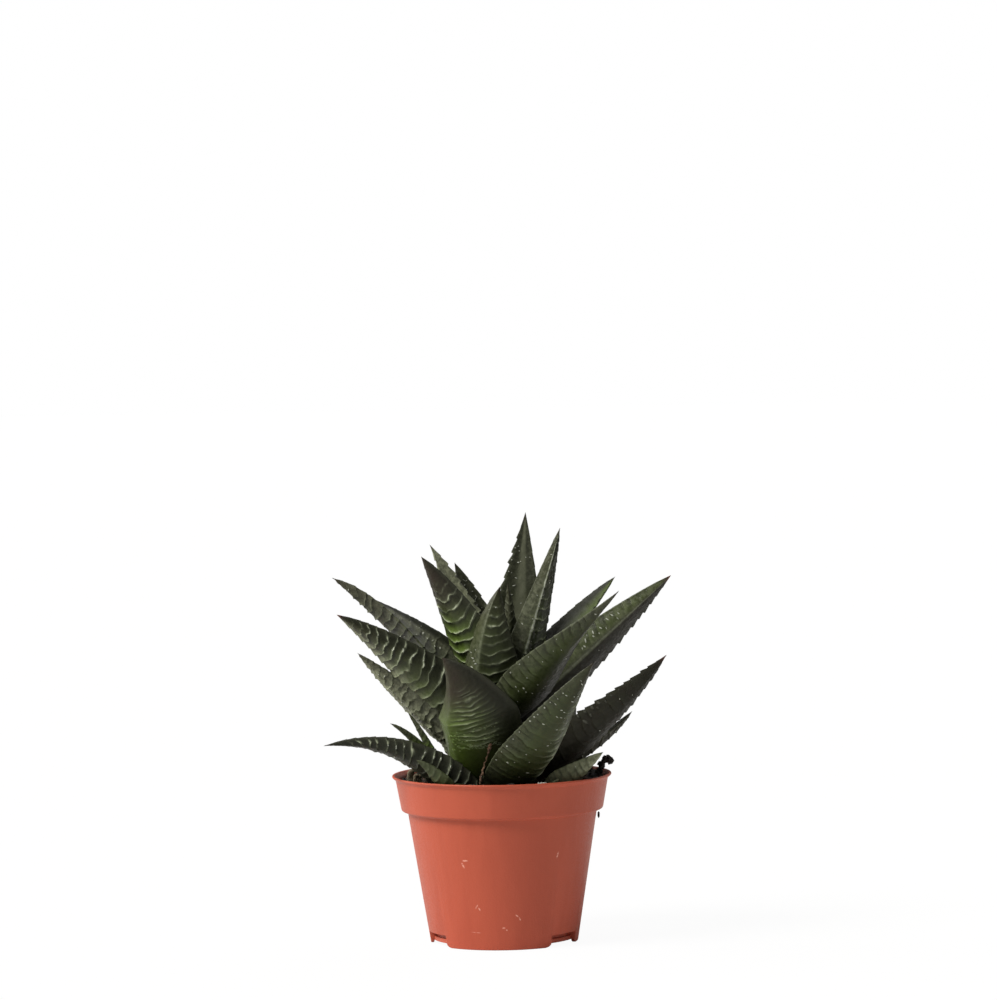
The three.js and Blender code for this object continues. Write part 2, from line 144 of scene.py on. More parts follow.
# Leaf form. The last row of points before the tip is at BLADE_END of the length.
EDGE_HALF_THICKNESS = 0.35
UPPER_HOLLOW = 0.16
RIM_BULGE = 0.25
TIP_CLOSING = 12
MARGIN_START = 0.75
LEAF_SEED = 100
RIDGE_START = 0.13
BLADE_END = 0.995

# Where the mesh has its rows between one ridge's crest and the next, from the crest towards the tip
FINE_ROWS = (0, 0.03, 0.08, 0.16, 0.3, 0.48, 0.66, 0.8, 0.88, 0.93, 0.965)
PLAIN_ROWS = (0, 0.08, 0.25, 0.5, 0.75, 0.9)

# Where tubercles stand across the leaf, and the square millimetres of leaf for each at a full share
KNOB_LINE = 0.93
DASH_LINES = np.arange(-0.8, 0.81, 0.2)
DOT_AREA = 20
UPPER_DOT_AREA = 30

# Green knobs on the belly of one leaf, most of them strewn and some in a row at a share of its length
GREEN_KNOBS = 80
GREEN_ROW_KNOBS = 26
GREEN_ROW = 0.322

# The form and looks of a leaf. A look is one number for the whole leaf, or several for equal steps from
# the negative margin to the other. first and last bound the ridges, side and patchy thin them out over
# the width, pale and white are the whiteness of crests and marks. Above 1, vivid, grey, pale and maroon
# go on to a brighter shade. Above 1, pale is partly a painted highlight on the crests, and grey on a lit
# flank partly painted light. dark is partly the skin's own dark and partly painted shade on a flank turned
# from the light; the root is darkened as painted shade where the leaves crowd, and so is the groove
# below each crest. under and upper count the mesh's columns on the two faces.
LEAF_DEFAULTS = {
    "roll": 0, "twist": 0, "belly": 0.6, "keel": 0, "widest": 0.3, "taper": 1.25, "foot": 0.55, "first": 0.13,
    "last": 0.95, "pitch": 4.3, "ridge": 1.0, "wave": 0.7, "bow": 1.8, "lean": 0.0, "furrow": 0.75,
    "patchy": 0.0, "rough": 0.5, "side": 1.0, "tooth": 1.0, "vivid": 0.3, "vivid_to": 0.75, "maroon": 0.15,
    "burnt": 0.2, "red_tip": 0.0, "grey": 0.2, "dark": 0.1, "foot_dark": 0.7, "pale": 0.5, "keel_pale": 0.0,
    "stripe": 0.0, "knobs": 0.0, "dashes": 0.05, "dots": 0.03, "upper_dots": 0.25, "marks": (),
    "marks_side": -1, "on_crest": False, "white": 0.75, "green_knobs": 0.0, "upper_show": 0.0, "under": 32,
    "upper": 16, "fine": True,
}

# Leaves seen from the front, from the crown down. Azimuth is measured from the front to the right.
# A mark is a single tubercle: its place along the leaf, across it, its size and its length over the leaf.
# On the leaves whose marks sit on the crests, leaf_12 and leaf_18, a mark is partly a painted highlight.
NEAR_LEAVES = (
    dict(name="leaf_01", azimuth=0, root=(2, 0, 97.5), middle=(4, -3, 120), tip=(3.5, -5, 139), width=6,
         pitch=3.2, ridge=0.5, vivid=0.2, grey=(0.8, 0.1), dark=(0, 0.5), pale=0.3),
    dict(name="leaf_02", azimuth=180, root=(3, 3, 97), middle=(7.4, 8, 127), tip=(11, 12, 165.5), width=25,
         taper=1.05, tooth=(0.3, 2.0), burnt=0.1, grey=0.6, foot_dark=0.4, stripe=1.1, upper_dots=0.3,
         marks_side=1,
         marks=((0.76, 0.33, 0.9, 2), (0.68, 0.3, 1.0, 2.4), (0.64, 0.36, 0.9, 2.4), (0.59, 0.41, 1.0, 2),
                (0.55, -0.1, 0.8, 2), (0.52, 0.2, 0.8, 2), (0.49, -0.3, 0.8, 1.5), (0.83, 0.9, 0.9, 1.5),
                (0.77, 0.9, 1.0, 1.5), (0.71, 0.9, 1.0, 1.5))),
    dict(name="leaf_03", azimuth=-10, root=(-0.5, -4, 88), middle=(-3, -13, 114), tip=(0.5, -15, 138.5),
         width=21, keel=-0.45, widest=0.35, last=0.92, pitch=3.6, ridge=0.8, wave=0.6, bow=2.4, patchy=0.3,
         side=(0.1, 0.1, 0.15, 0.7, 1, 1, 1, 0.8, 0.5), tooth=0.5,
         vivid=(0.2, 0.3, 0.3, 0.4, 0.4, 0.4, 0.3, 0.2, 0.1), vivid_to=1.0, maroon=0.1,
         grey=(0.6, 0.6, 0.5, 0.15, 0, 0, 0, 0, 0), dark=(0, 0, 0, 0.35, 0.3, 0.3, 0.4, 0.6, 0.9),
         foot_dark=0.5, pale=(0.1, 0.1, 0.2, 0.7, 1.1, 1.2, 1.1, 0.8, 0.4), keel_pale=0.3, dashes=0.1,
         marks=((0.49, -0.85, 0.9, 3), (0.46, -0.72, 1.0, 3), (0.43, -0.55, 0.9, 3), (0.4, -0.7, 0.9, 3),
                (0.36, -0.8, 0.9, 3), (0.52, -0.65, 0.7, 2), (0.34, -0.6, 0.8, 2.5))),
    dict(name="leaf_04", azimuth=30, root=(4.5, -1, 97.5), middle=(15, -8, 131), tip=(24, -12, 160.5),
         width=15, keel=-0.35, taper=1.05, last=0.68, rough=2.0,
         side=(0.4, 0.4, 0.3, 1.2, 1.2, 1.2, 1.2, 1, 0.8), tooth=(0.3, 0.8),
         vivid=(0.1, 0.1, 0.2, 0.3, 0.5, 0.5, 0.4, 0.3, 0.3), vivid_to=0.8, maroon=0.05, burnt=0.1,
         grey=(0.9, 1, 0.9, 0.2, 0, 0, 0, 0, 0), dark=(0, 0, 0, 0.5, 0.5, 0.5, 0.5, 0.7, 0.8),
         pale=(0.4, 0.4, 0.3, 0.9, 1, 1, 1, 0.9, 0.8), keel_pale=1.9, dots=0.4),
    dict(name="leaf_05", azimuth=-35, roll=10, root=(-2.5, -2, 97.5), middle=(-15.5, -9, 127.5),
         tip=(-29.5, -13, 150.5), width=18.8, taper=1.3, last=0.8, pitch=4.2, ridge=1.5, wave=1.2, bow=2.8,
         tooth=0.5, vivid=(1.4, 1.3, 1.1, 0.8, 0.4), vivid_to=0.72, maroon=0.1, burnt=0.9,
         dark=(0.0, 0.0, 0.1, 0.4, 0.9), foot_dark=0.3, pale=(1.2, 1.1, 1.0, 1.4, 1.2), dashes=0.0,
         dots=0.0),
    dict(name="leaf_06", azimuth=-145, root=(-2, 3, 97), middle=(-13, 9, 127.5), tip=(-26.5, 13, 153.5),
         width=14, taper=1.15, tooth=2.0, vivid=0.2, maroon=0.5, burnt=0.0, grey=1.9, dark=0.0,
         foot_dark=0.3, upper_dots=0.05),
    dict(name="leaf_07", azimuth=-150, root=(-1, 4, 97), middle=(-8, 12, 123), tip=(-17, 18, 146), width=18,
         vivid=0.0, grey=0.7, dark=0.45, foot_dark=0.2, upper_dots=3.0, white=0.5),
    dict(name="leaf_08", azimuth=-80, roll=-38, twist=70, root=(-4, 0, 95.5), middle=(-34, -4, 123.6),
         tip=(-64, -8, 142.5), width=20, belly=0.98, ridge=1.1, wave=1.0, rough=1.5,
         side=(0.2, 0.7, 1.1, 1.1, 1.1), tooth=(0.4, 1.5), vivid=(0, 0.1, 0.2), maroon=0.35,
         grey=(0, 0.5, 1.3, 1.3, 1.0, 0.9, 0.8, 0.8, 0.8), dark=(1, 0.9, 0.2, 0, 0, 0, 0, 0, 0),
         foot_dark=0.8, pale=(0, 0.15, 0.2, 0.2, 0.2, 0.2, 0.25, 0.3, 0.4), dashes=0.3, marks_side=1,
         upper_show=0.9,
         marks=((0.42, -0.3, 1.3, 2.5), (0.39, -0.15, 1.2, 2), (0.36, -0.3, 1.3, 2.5), (0.34, 0.0, 1.2, 2),
                (0.31, -0.2, 1.3, 3), (0.45, -0.45, 1.1, 2))),
    dict(name="leaf_09", azimuth=130, root=(2, 3, 93), middle=(26, 11, 119.8), tip=(45.5, 16, 139.5),
         width=20, ridge=0.3, rough=0.2, vivid=(0.9, 0.85, 0.5, 0.1, 0), vivid_to=1.3, maroon=0.3,
         burnt=0.0, grey=0.0, dark=(0, 0.1, 0.5, 1, 1), pale=0.2, upper_dots=0.05),
    dict(name="leaf_10", azimuth=80, roll=-50, root=(4.5, 0, 87.5), middle=(38.2, -6, 117.5),
         tip=(66.5, -10, 141.5), width=21.5, belly=0.7, keel=-0.35, rough=0.6,
         side=(0.9, 0.6, 0.2, 0.1, 0.1, 0.2, 0.4, 0.8, 1.0), tooth=(0.1, 1.5),
         vivid=(0.2, 0.3, 0.2, 0, 0, 0, 0, 0, 0), vivid_to=1.2, maroon=(0, 0, 0.1, 0.9, 1, 1, 1, 1, 1),
         burnt=0.0, red_tip=0.8, grey=(0.4, 0.6, 0.6, 0.2, 0, 0, 0, 0, 0),
         dark=(0, 0, 0, 0.7, 0.85, 0.85, 0.9, 0.9, 0.9), foot_dark=0.6, pale=0.05, keel_pale=0.4,
         dashes=0.12, dots=0.0, upper_dots=0.1,
         marks=((0.51, -0.76, 1.3, 2.2), (0.5, -0.66, 1.1, 2), (0.46, -0.71, 1.3, 2.4),
                (0.44, -0.6, 1.0, 2), (0.55, -0.73, 0.9, 3), (0.6, -0.82, 1.0, 3), (0.63, -0.84, 0.9, 3),
                (0.57, -0.6, 0.8, 2.5), (0.53, -0.62, 0.8, 2), (0.48, -0.8, 0.9, 2),
                (0.66, -0.75, 0.8, 3))),
    dict(name="leaf_11", azimuth=50, roll=-35, twist=60, root=(0, -6, 87), middle=(20, -22, 112.6),
         tip=(46, -32, 137.5), width=21, pitch=3.5, ridge=1.3, wave=0.9, furrow=0.6, patchy=0.3,
         side=(1.5, 1.2, 0.6, 0.2, 0.1, 0.1, 0.2, 0.3, 0.3), tooth=0.4,
         vivid=(0.1, 0.2, 0.4, 0.5, 0.4, 0.2, 0.1, 0, 0), vivid_to=1.0,
         maroon=(0, 0, 0.1, 0.2, 0.3, 0.4, 0.5, 0.5, 0.5), burnt=0.1,
         grey=(0.6, 0.5, 0.3, 0.1, 0, 0, 0, 0, 0), dark=(0.25, 0.2, 0.15, 0.2, 0.3, 0.4, 0.7, 0.9, 1),
         foot_dark=0.2, pale=(0, 0, 0, 0.1, 0.1), dots=0.06,
         marks=((0.31, -0.93, 1.0, 1.2), (0.38, -0.95, 1.1, 1.2), (0.44, -0.95, 1.1, 1.2),
                (0.61, -0.93, 0.9, 1.2), (0.27, -0.55, 1.0, 1.5), (0.29, -0.32, 1.1, 1.8),
                (0.29, 0.04, 1.0, 1.5), (0.28, -0.18, 0.9, 1.5), (0.26, -0.4, 1.0, 1.5),
                (0.35, -0.5, 0.9, 1.2), (0.47, -0.53, 0.8, 1.2), (0.55, -0.57, 0.8, 1.2),
                (0.58, -0.35, 0.8, 1.2))),
    dict(name="leaf_12", azimuth=-65, roll=60, root=(-4.5, -3, 80.5), middle=(-35, -17, 110.3),
         tip=(-62, -24, 129.5), width=21, widest=0.25, taper=1.15, ridge=1.6, wave=1.2, bow=1.2, lean=1.4,
         tooth=(1.2, 0.5), vivid=(0.1, 0.3, 0.5, 0.5, 0.3, 0.2, 0, 0, 0), vivid_to=0.8, red_tip=0.8,
         grey=(2, 1.8, 1.1, 0.4, 0.1, 0, 0, 0, 0), dark=(0, 0, 0, 0, 0.1, 0.4, 0.7, 0.9, 0.9),
         foot_dark=0.1, pale=(0.5, 0.7, 0.8, 0.8, 0.9, 1.2, 1.6, 1.7, 0.5), dashes=0.0, dots=0.0,
         on_crest=True,
         marks=((0.7, 0.57, 0.7, 2.6), (0.57, 0.55, 0.9, 3), (0.52, 0.63, 0.9, 3), (0.45, 0.68, 0.9, 3),
                (0.4, 0.67, 0.8, 3))),
    dict(name="leaf_13", azimuth=-80, roll=40, root=(-4.5, -2, 68.5), middle=(-32.5, -10, 94),
         tip=(-54.5, -16, 114), width=16, pitch=3.7, ridge=1.5, wave=1.4, patchy=0.4, rough=3.0,
         tooth=(1.4, 0.6), vivid=0.05, maroon=0.25, burnt=0.1, grey=(2, 2, 1.7, 1.4, 1.2),
         dark=(0, 0, 0, 0.1, 0.4), foot_dark=0.2, pale=0.3, dashes=0.3, dots=0.05),
    dict(name="leaf_14", azimuth=-15, root=(-6, -8, 61), middle=(-8.6, -26, 91.5), tip=(-22, -32, 113),
         width=32, belly=0.5, keel=-0.6, widest=0.5, taper=1, foot=0.85, first=0.34, last=0.8, pitch=1.9,
         ridge=1.1, wave=0.85, bow=2.2, patchy=0.5, side=(0, 0, 0.5, 1.2, 1.3, 1.1, 0.5, 0.1, 0), tooth=0.0,
         vivid=(1.1, 1.35, 1.4, 1.3, 1.1, 0.9, 0.5, 0.2, 0), vivid_to=0.84,
         maroon=(0, 0, 0.1, 0.2, 0.3, 0.3, 0.4, 0.5, 0.5), burnt=0.8,
         grey=(0.9, 0.7, 0.2, 0, 0, 0, 0, 0, 0), dark=(0, 0, 0.05, 0.3, 0.4, 0.5, 0.8, 0.95, 1),
         foot_dark=0.0, pale=(0, 0, 0.25, 0.5, 0.5, 0.4, 0.2, 0, 0), dashes=0.0, dots=0.0, green_knobs=1.0,
         under=46),
    dict(name="leaf_15", azimuth=75, roll=-40, root=(4, 0, 62.5), middle=(37.5, -12, 87),
         tip=(64, -18, 111.5), width=20, ridge=1.2, wave=1.0, patchy=0.6, rough=1.5,
         side=(1.4, 0.9, 0.35, 0.3, 0.5), tooth=(2.4, 1.6), vivid=0.0, maroon=1.0, burnt=0.0, red_tip=0.5,
         grey=0.0, dark=(0.7, 0.85, 0.85, 0.85, 0.9), pale=0.0, dots=0.05, white=0.1,
         marks=((0.57, -0.95, 2.4, 1.3), (0.53, -0.96, 2.7, 1.2), (0.49, -0.96, 2.7, 1.2),
                (0.45, -0.96, 2.4, 1.3), (0.46, -0.69, 2.0, 1.8), (0.5, -0.77, 1.8, 1.8),
                (0.55, -0.82, 1.9, 1.6), (0.6, -0.88, 2.1, 1.5), (0.64, -0.92, 1.4, 1.6),
                (0.69, -0.93, 1.4, 1.6), (0.77, -0.95, 1.3, 1.6))),
    dict(name="leaf_16", azimuth=35, root=(0, -8, 60.5), middle=(17, -34, 87), tip=(35.5, -47, 111.5),
         width=28, foot=0.75, pitch=2.8, ridge=1.25, wave=0.9, furrow=0.6, patchy=0.4,
         side=(1.6, 1.2, 0.35, 0.12, 0.3, 0.9, 1.2, 1.1, 0.5), tooth=0.4,
         vivid=(0.1, 0.3, 0.6, 0.7, 0.6, 0.5, 0.5, 0.4, 0.2), vivid_to=1.0,
         maroon=(0, 0, 0.1, 0.3, 0.4, 0.4, 0.4, 0.4, 0.4), burnt=0.1,
         grey=(0.4, 0.4, 0.3, 0.1, 0.1, 0, 0, 0.1, 0.2),
         dark=(0.35, 0.35, 0.4, 0.45, 0.4, 0.35, 0.3, 0.3, 0.6), foot_dark=0.2,
         pale=(0, 0, 0.05, 0.1, 0.3, 0.7, 0.9, 0.7, 0.3), dashes=0.22, dots=0.08, under=40,
         marks=((0.36, -0.95, 1.0, 1.2), (0.41, -0.95, 1.1, 1.2), (0.46, -0.96, 1.1, 1.2),
                (0.54, -0.95, 1.4, 1.2), (0.57, -0.96, 1.2, 1.2), (0.59, -0.93, 1.1, 1.2),
                (0.64, -0.93, 1.3, 1.2), (0.68, -0.92, 1.1, 1.5), (0.72, -0.83, 1.3, 1.2),
                (0.76, -0.81, 1.2, 1.2), (0.32, -0.96, 0.9, 1.2), (0.26, -0.95, 0.9, 1.5),
                (0.28, -0.74, 1.0, 1.5), (0.33, -0.3, 0.9, 1.2), (0.22, -0.3, 0.9, 1.2),
                (0.25, 0.1, 0.8, 1.2))),
    dict(name="leaf_17", azimuth=95, root=(5, 3, 61), middle=(33.5, 3, 75.5), tip=(51, 4, 88), width=14,
         tooth=1.5, vivid=0.0, maroon=1.0, grey=0.0, dark=0.6, pale=0.1),
    dict(name="leaf_18", azimuth=-60, roll=45, root=(-4, -15, 49), middle=(-34, -21.5, 75.2),
         tip=(-68, -22, 79), width=14.2, pitch=3.7, ridge=1.4, wave=0.9, tooth=0.7, vivid=0.05, maroon=0.25,
         grey=(0.7, 0.4, 0.1, 0, 0), dark=(0.5, 0.65, 0.8, 0.9, 0.95, 1, 1, 0.95, 0.9), foot_dark=0.3,
         pale=(0, 0, 0.04, 0.06, 0.1, 0.25, 0.6, 1.2, 0.3), dashes=0.1, dots=0.0, on_crest=True,
         marks=((0.67, 0.59, 0.8, 1.6), (0.61, 0.53, 0.9, 2), (0.57, 0.73, 0.9, 2), (0.45, 0.77, 1.1, 2),
                (0.41, 0.76, 1.1, 2.4), (0.36, 0.82, 1.0, 2), (0.29, 0.78, 1.1, 2.4),
                (0.26, 0.84, 1.0, 2))),
)

# Leaves of the far side, in tiers. Each tier starts at an azimuth and goes round by equal steps.
FAR_TIERS = (
    dict(count=2, azimuth=163, step=38, root_height=92, reach=30, tip_height=135, width=17),
    dict(count=3, azimuth=148, step=30, root_height=82, reach=40, tip_height=117, width=19),
    dict(count=3, azimuth=160, step=28, root_height=72, reach=45, tip_height=101, width=20),
    dict(count=4, azimuth=143, step=24, root_height=62.5, reach=49, tip_height=86, width=20),
)
FAR_ROOT_RADIUS = 3.0
FAR_BULGE = 0.6
FAR_SEED = 29
FAR_LOOK = dict(foot=0.8, under=24, upper=12, fine=False, pale=0.8, tooth=1.1, dashes=0.3, dots=0.05)

# Side shoots
OFFSETS = (
    dict(name="offset_left", stem=(-21, -5), leaves=(
        dict(azimuth=-60, root=(-21, -6, 62), middle=(-28, -10, 78), tip=(-35.5, -14, 90.5), width=5.5,
             vivid=1.7),
        dict(azimuth=-70, roll=30, root=(-21, -5, 62), middle=(-32, -10, 78), tip=(-42.5, -14, 86.5),
             width=5.5, vivid=1.5),
        dict(azimuth=-120, root=(-21, -4, 62), middle=(-28, 1, 74), tip=(-37, 4, 80), width=6))),
    dict(name="offset_front", stem=(-17, -26), leaves=(
        dict(azimuth=-40, root=(-17.5, -26, 59), middle=(-25, -30, 68.5), tip=(-32.5, -31, 74), width=9,
             vivid=0.2, grey=(1.2, 0.3, 0.1), dark=0.35),
        dict(azimuth=20, root=(-16, -26, 59), middle=(-13.5, -28, 62), tip=(-11, -29.5, 64), width=5,
             vivid=0.2, grey=0.3, dark=0.35))),
    dict(name="offset_right", stem=(18, -19), leaves=(
        dict(azimuth=55, roll=-35, root=(17, -19, 59), middle=(27.5, -21, 67), tip=(39, -23, 75), width=12,
             vivid=0.2, grey=1.9, dark=0.0),
        dict(azimuth=20, root=(18, -20, 59), middle=(20, -26, 63), tip=(22, -30, 65.5), width=6))),
)
OFFSET_LOOK = dict(belly=0.7, pitch=2.6, ridge=0.35, under=18, upper=10, fine=False, vivid=1.2, grey=1.0,
                   tooth=0.4, pale=0.15, bow=0.8, wave=0.3, foot_dark=0.1)
OFFSET_SEED = 300
OFFSET_STEM_RADIUS = 2.6
OFFSET_STEM_BOTTOM = 50.0
OFFSET_STEM_TOP = 64.0

# Dried bract between two front leaves
BRACT_LINE = ((-4, -28, 79.5), (-4.9, -26.4, 76), (-6.2, -24.5, 72.2), (-7.4, -23.8, 68), (-8.2, -23.8, 63.4))
BRACT_WIDTH = 1.3
BRACT_THICKNESS = 0.7
BRACT_RINGS = 40
BRACT_SEED = 21
BRACT_STEPS = (0, 0.1, 0.18, 0.3, 0.55, 0.7, 0.9, 1)
BRACT_SHARES = (0.5, 1.1, 1.0, 0.35, 0.45, 1.1, 1.7, 1.3)


def length(name, description, default):
    """A length that the user may change, given in millimetres."""
    return bpy.props.FloatProperty(name=name, description=description, default=default * MM, unit="LENGTH")


def tint(name, description, default):
    """A colour that the user may change."""
    return bpy.props.FloatVectorProperty(
        name=name, description=description, default=default, subtype="COLOR", size=3)


class PlantSettings(bpy.types.PropertyGroup):
    """Sizes and colours of the plant."""

    ridge_height: length("Ridge height", "Height of the cross ridges", 0.7)
    tooth_height: length("Tooth height", "How far a ridge stands out of the leaf's margin", 0.6)
    tubercle_radius: length("Tubercle radius", "Radius of the white dots", 0.34)
    dark_green: tint("Dark green", "Darkest green of the skin", (0.012, 0.0145, 0.006))
    mid_green: tint("Mid green", "Main green of the skin", (0.036, 0.043, 0.0145))
    vivid_green: tint("Vivid green", "Fresh green towards the leaf's root", (0.075, 0.125, 0.011))
    grey_green: tint("Grey green", "Waxy bloom on older leaves", (0.11, 0.117, 0.076))
    maroon: tint("Maroon", "Sunburnt brown of the outer leaves", (0.028, 0.02, 0.0135))
    ridge_colour: tint("Ridge colour", "Pale crest of the cross ridges", (0.32, 0.355, 0.235))
    tubercle_colour: tint("Tubercle colour", "White of the dots", (0.5, 0.52, 0.45))
    tip_colour: tint("Tip colour", "Dried brown of the leaf tips", (0.16, 0.05, 0.035))


class PotSettings(bpy.types.PropertyGroup):
    """Colours of the pot and the soil."""

    plastic: tint("Plastic", "Colour of the pot", (0.415, 0.08, 0.041))
    plastic_dark: tint("Plastic shade", "Darker tone that the plastic varies to", (0.345, 0.062, 0.031))
    scuff: tint("Scuff", "Pale rubbed plastic", (0.7, 0.34, 0.26))
    soil: tint("Soil", "Damp peat", (0.012, 0.009, 0.007))
    soil_light: tint("Soil bits", "Lighter bits of bark in the soil", (0.075, 0.045, 0.028))


# ---------------------------------------------------------------- numbers

def smoothstep(low, high, x):
    """Rises smoothly from 0 at low to 1 at high."""
    t = np.clip((x - low) / (high - low), 0, 1)
    return t * t * (3 - 2 * t)


class Noise:
    """Smooth repeatable noise over a plane, from -1 to 1."""

    SIDE = 64

    def __init__(self, seed):
        self.table = np.random.default_rng(seed).random((self.SIDE, self.SIDE)) * 2 - 1

    def __call__(self, x, y):
        x, y = np.broadcast_arrays(np.asarray(x, float), np.asarray(y, float))
        column, row = np.floor(x).astype(int), np.floor(y).astype(int)
        u, v = x - column, y - row
        u, v = u * u * (3 - 2 * u), v * v * (3 - 2 * v)

        def at(i, j):
            return self.table[(row + j) % self.SIDE, (column + i) % self.SIDE]

        low = at(0, 0) * (1 - u) + at(1, 0) * u
        high = at(0, 1) * (1 - u) + at(1, 1) * u
        return low * (1 - v) + high * v

    def octaves(self, x, y, count):
        """Sum of ever finer and fainter noises."""
        return sum(self(x * 2 ** k + 7.3 * k, y * 2 ** k - 3.1 * k) / 2 ** k for k in range(count))


def park_miller(seed):
    """The generator that places the far leaves in the source too."""
    state = seed
    while True:
        state = state * 16807 % 2147483647
        yield state / 2147483647


def unit(v):
    """The vectors at length 1."""
    return v / np.linalg.norm(v, axis=-1, keepdims=True)


# ---------------------------------------------------------------- meshes

def rings_to_faces(rings, count):
    """Quads between rings of count points, and fans to the two end points, which follow the rings."""
    ring = np.arange(rings - 1)[:, None] * count
    i = np.arange(count)[None, :]
    j = (i + 1) % count
    quads = np.stack([ring + i, ring + j, ring + count + j, ring + count + i], -1).reshape(-1, 4).tolist()
    end = rings * count
    base = end - count
    pairs = list(zip(i[0].tolist(), j[0].tolist()))
    quads += [[end, b, a] for a, b in pairs]
    quads += [[end + 1, base + a, base + b] for a, b in pairs]
    return quads


def make_object(name, points, faces, material, smooth=True, masks=None):
    """A mesh object from points in millimetres. masks maps an attribute's name to four numbers a point."""
    mesh = bpy.data.meshes.new(name)
    mesh.from_pydata((np.asarray(points) * MM).tolist(), [], faces)
    mesh.update()
    for mask, values in (masks or {}).items():
        layer = mesh.color_attributes.new(mask, "FLOAT_COLOR", "POINT")
        layer.data.foreach_set("color", np.asarray(values, np.float32).ravel())
    mesh.polygons.foreach_set("use_smooth", np.full(len(mesh.polygons), smooth))
    mesh.materials.append(material)
    thing = bpy.data.objects.new(name, mesh)
    bpy.context.scene.collection.objects.link(thing)
    return thing


def settle(piece, slot, *nodes):
    """The piece belongs to the part and stands for the nodes. slot is not used."""
    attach(piece, "root")
    if nodes:
        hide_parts(*nodes)


def apply_modifiers(piece):
    """Keeps the shape that the piece's modifiers give it, and drops them."""
    graph = bpy.context.evaluated_depsgraph_get()
    shaped = bpy.data.meshes.new_from_object(piece.evaluated_get(graph))
    piece.modifiers.clear()
    old = piece.data
    piece.data = shaped
    bpy.data.meshes.remove(old)


def turned(profile, segments):
    """A closed profile turned round the Z axis. Its first and last points are on the axis."""
    profile = np.asarray(profile, float)
    angles = np.arange(segments) / segments * 2 * math.pi
    inner = profile[1:-1]
    radius, height = inner[:, :1], np.repeat(inner[:, 1:], segments, 1)
    rings = np.stack([radius * np.cos(angles), radius * np.sin(angles), height], -1)
    points = np.vstack([rings.reshape(-1, 3), [[0, 0, profile[0, 1]], [0, 0, profile[-1, 1]]]])
    return points, rings_to_faces(len(inner), segments)


def rounded(path, radius):
    """The path with each inner corner rounded."""
    path = np.asarray(path, float)
    out = [path[0]]
    for before, corner, after in zip(path, path[1:], path[2:]):
        back, on = before - corner, after - corner
        cut = min(radius, 0.45 * np.linalg.norm(back), 0.45 * np.linalg.norm(on))
        start, end = corner + unit(back) * cut, corner + unit(on) * cut
        for t in np.linspace(0, 1, CORNER_STEPS):
            out.append(start * (1 - t) ** 2 + corner * 2 * t * (1 - t) + end * t ** 2)
    return np.array(out + [path[-1]])


def tube(line, radii, sides, squash=1.0, turn=0.0):
    """A closed tube along a line of points. squash flattens it, and turn twists the flattened section."""
    line = np.asarray(line, float)
    along = unit(np.gradient(line, axis=0))
    side = unit(np.cross(along, [0.3, -0.9, 0.31]))
    up = np.cross(along, side)
    angles = np.arange(sides) / sides * 2 * math.pi
    twist = np.linspace(0, turn, len(line))[:, None]
    wide, thin = np.cos(angles)[None, :], np.sin(angles)[None, :] * squash
    u = wide * np.cos(twist) - thin * np.sin(twist)
    v = wide * np.sin(twist) + thin * np.cos(twist)
    radii = np.broadcast_to(radii, len(line))[:, None, None]
    rings = line[:, None] + radii * (u[..., None] * side[:, None] + v[..., None] * up[:, None])
    return np.vstack([rings.reshape(-1, 3), line[:1], line[-1:]]), rings_to_faces(len(line), sides)


def smooth_line(points, count):
    """Catmull-Rom curve through the points."""
    p = np.asarray(points, float)
    p = np.vstack([2 * p[0] - p[1], p, 2 * p[-1] - p[-2]])
    s = np.linspace(0, len(p) - 3 - 1e-6, count)
    k, t = s.astype(int), (s % 1)[:, None]
    a, b, c, d = p[k], p[k + 1], p[k + 2], p[k + 3]
    square, cube = 2 * a - 5 * b + 4 * c - d, 3 * b - a - 3 * c + d
    return 0.5 * (2 * b + (c - a) * t + square * t ** 2 + cube * t ** 3)


class Heap:
    """Collects small shapes with their masks into one mesh."""

    def __init__(self):
        self.points, self.faces, self.masks, self.count = [], [], {}, 0

    def add(self, points, faces, **masks):
        self.points.append(points)
        self.faces.extend([[v + self.count for v in face] for face in faces])
        for name, values in masks.items():
            self.masks.setdefault(name, []).append(np.broadcast_to(values, (len(points), 4)))
        self.count += len(points)

    def make(self, name, material, smooth=True):
        masks = {k: np.vstack(v) for k, v in self.masks.items()}
        return make_object(name, np.vstack(self.points), self.faces, material, smooth, masks)


# ---------------------------------------------------------------- leaves

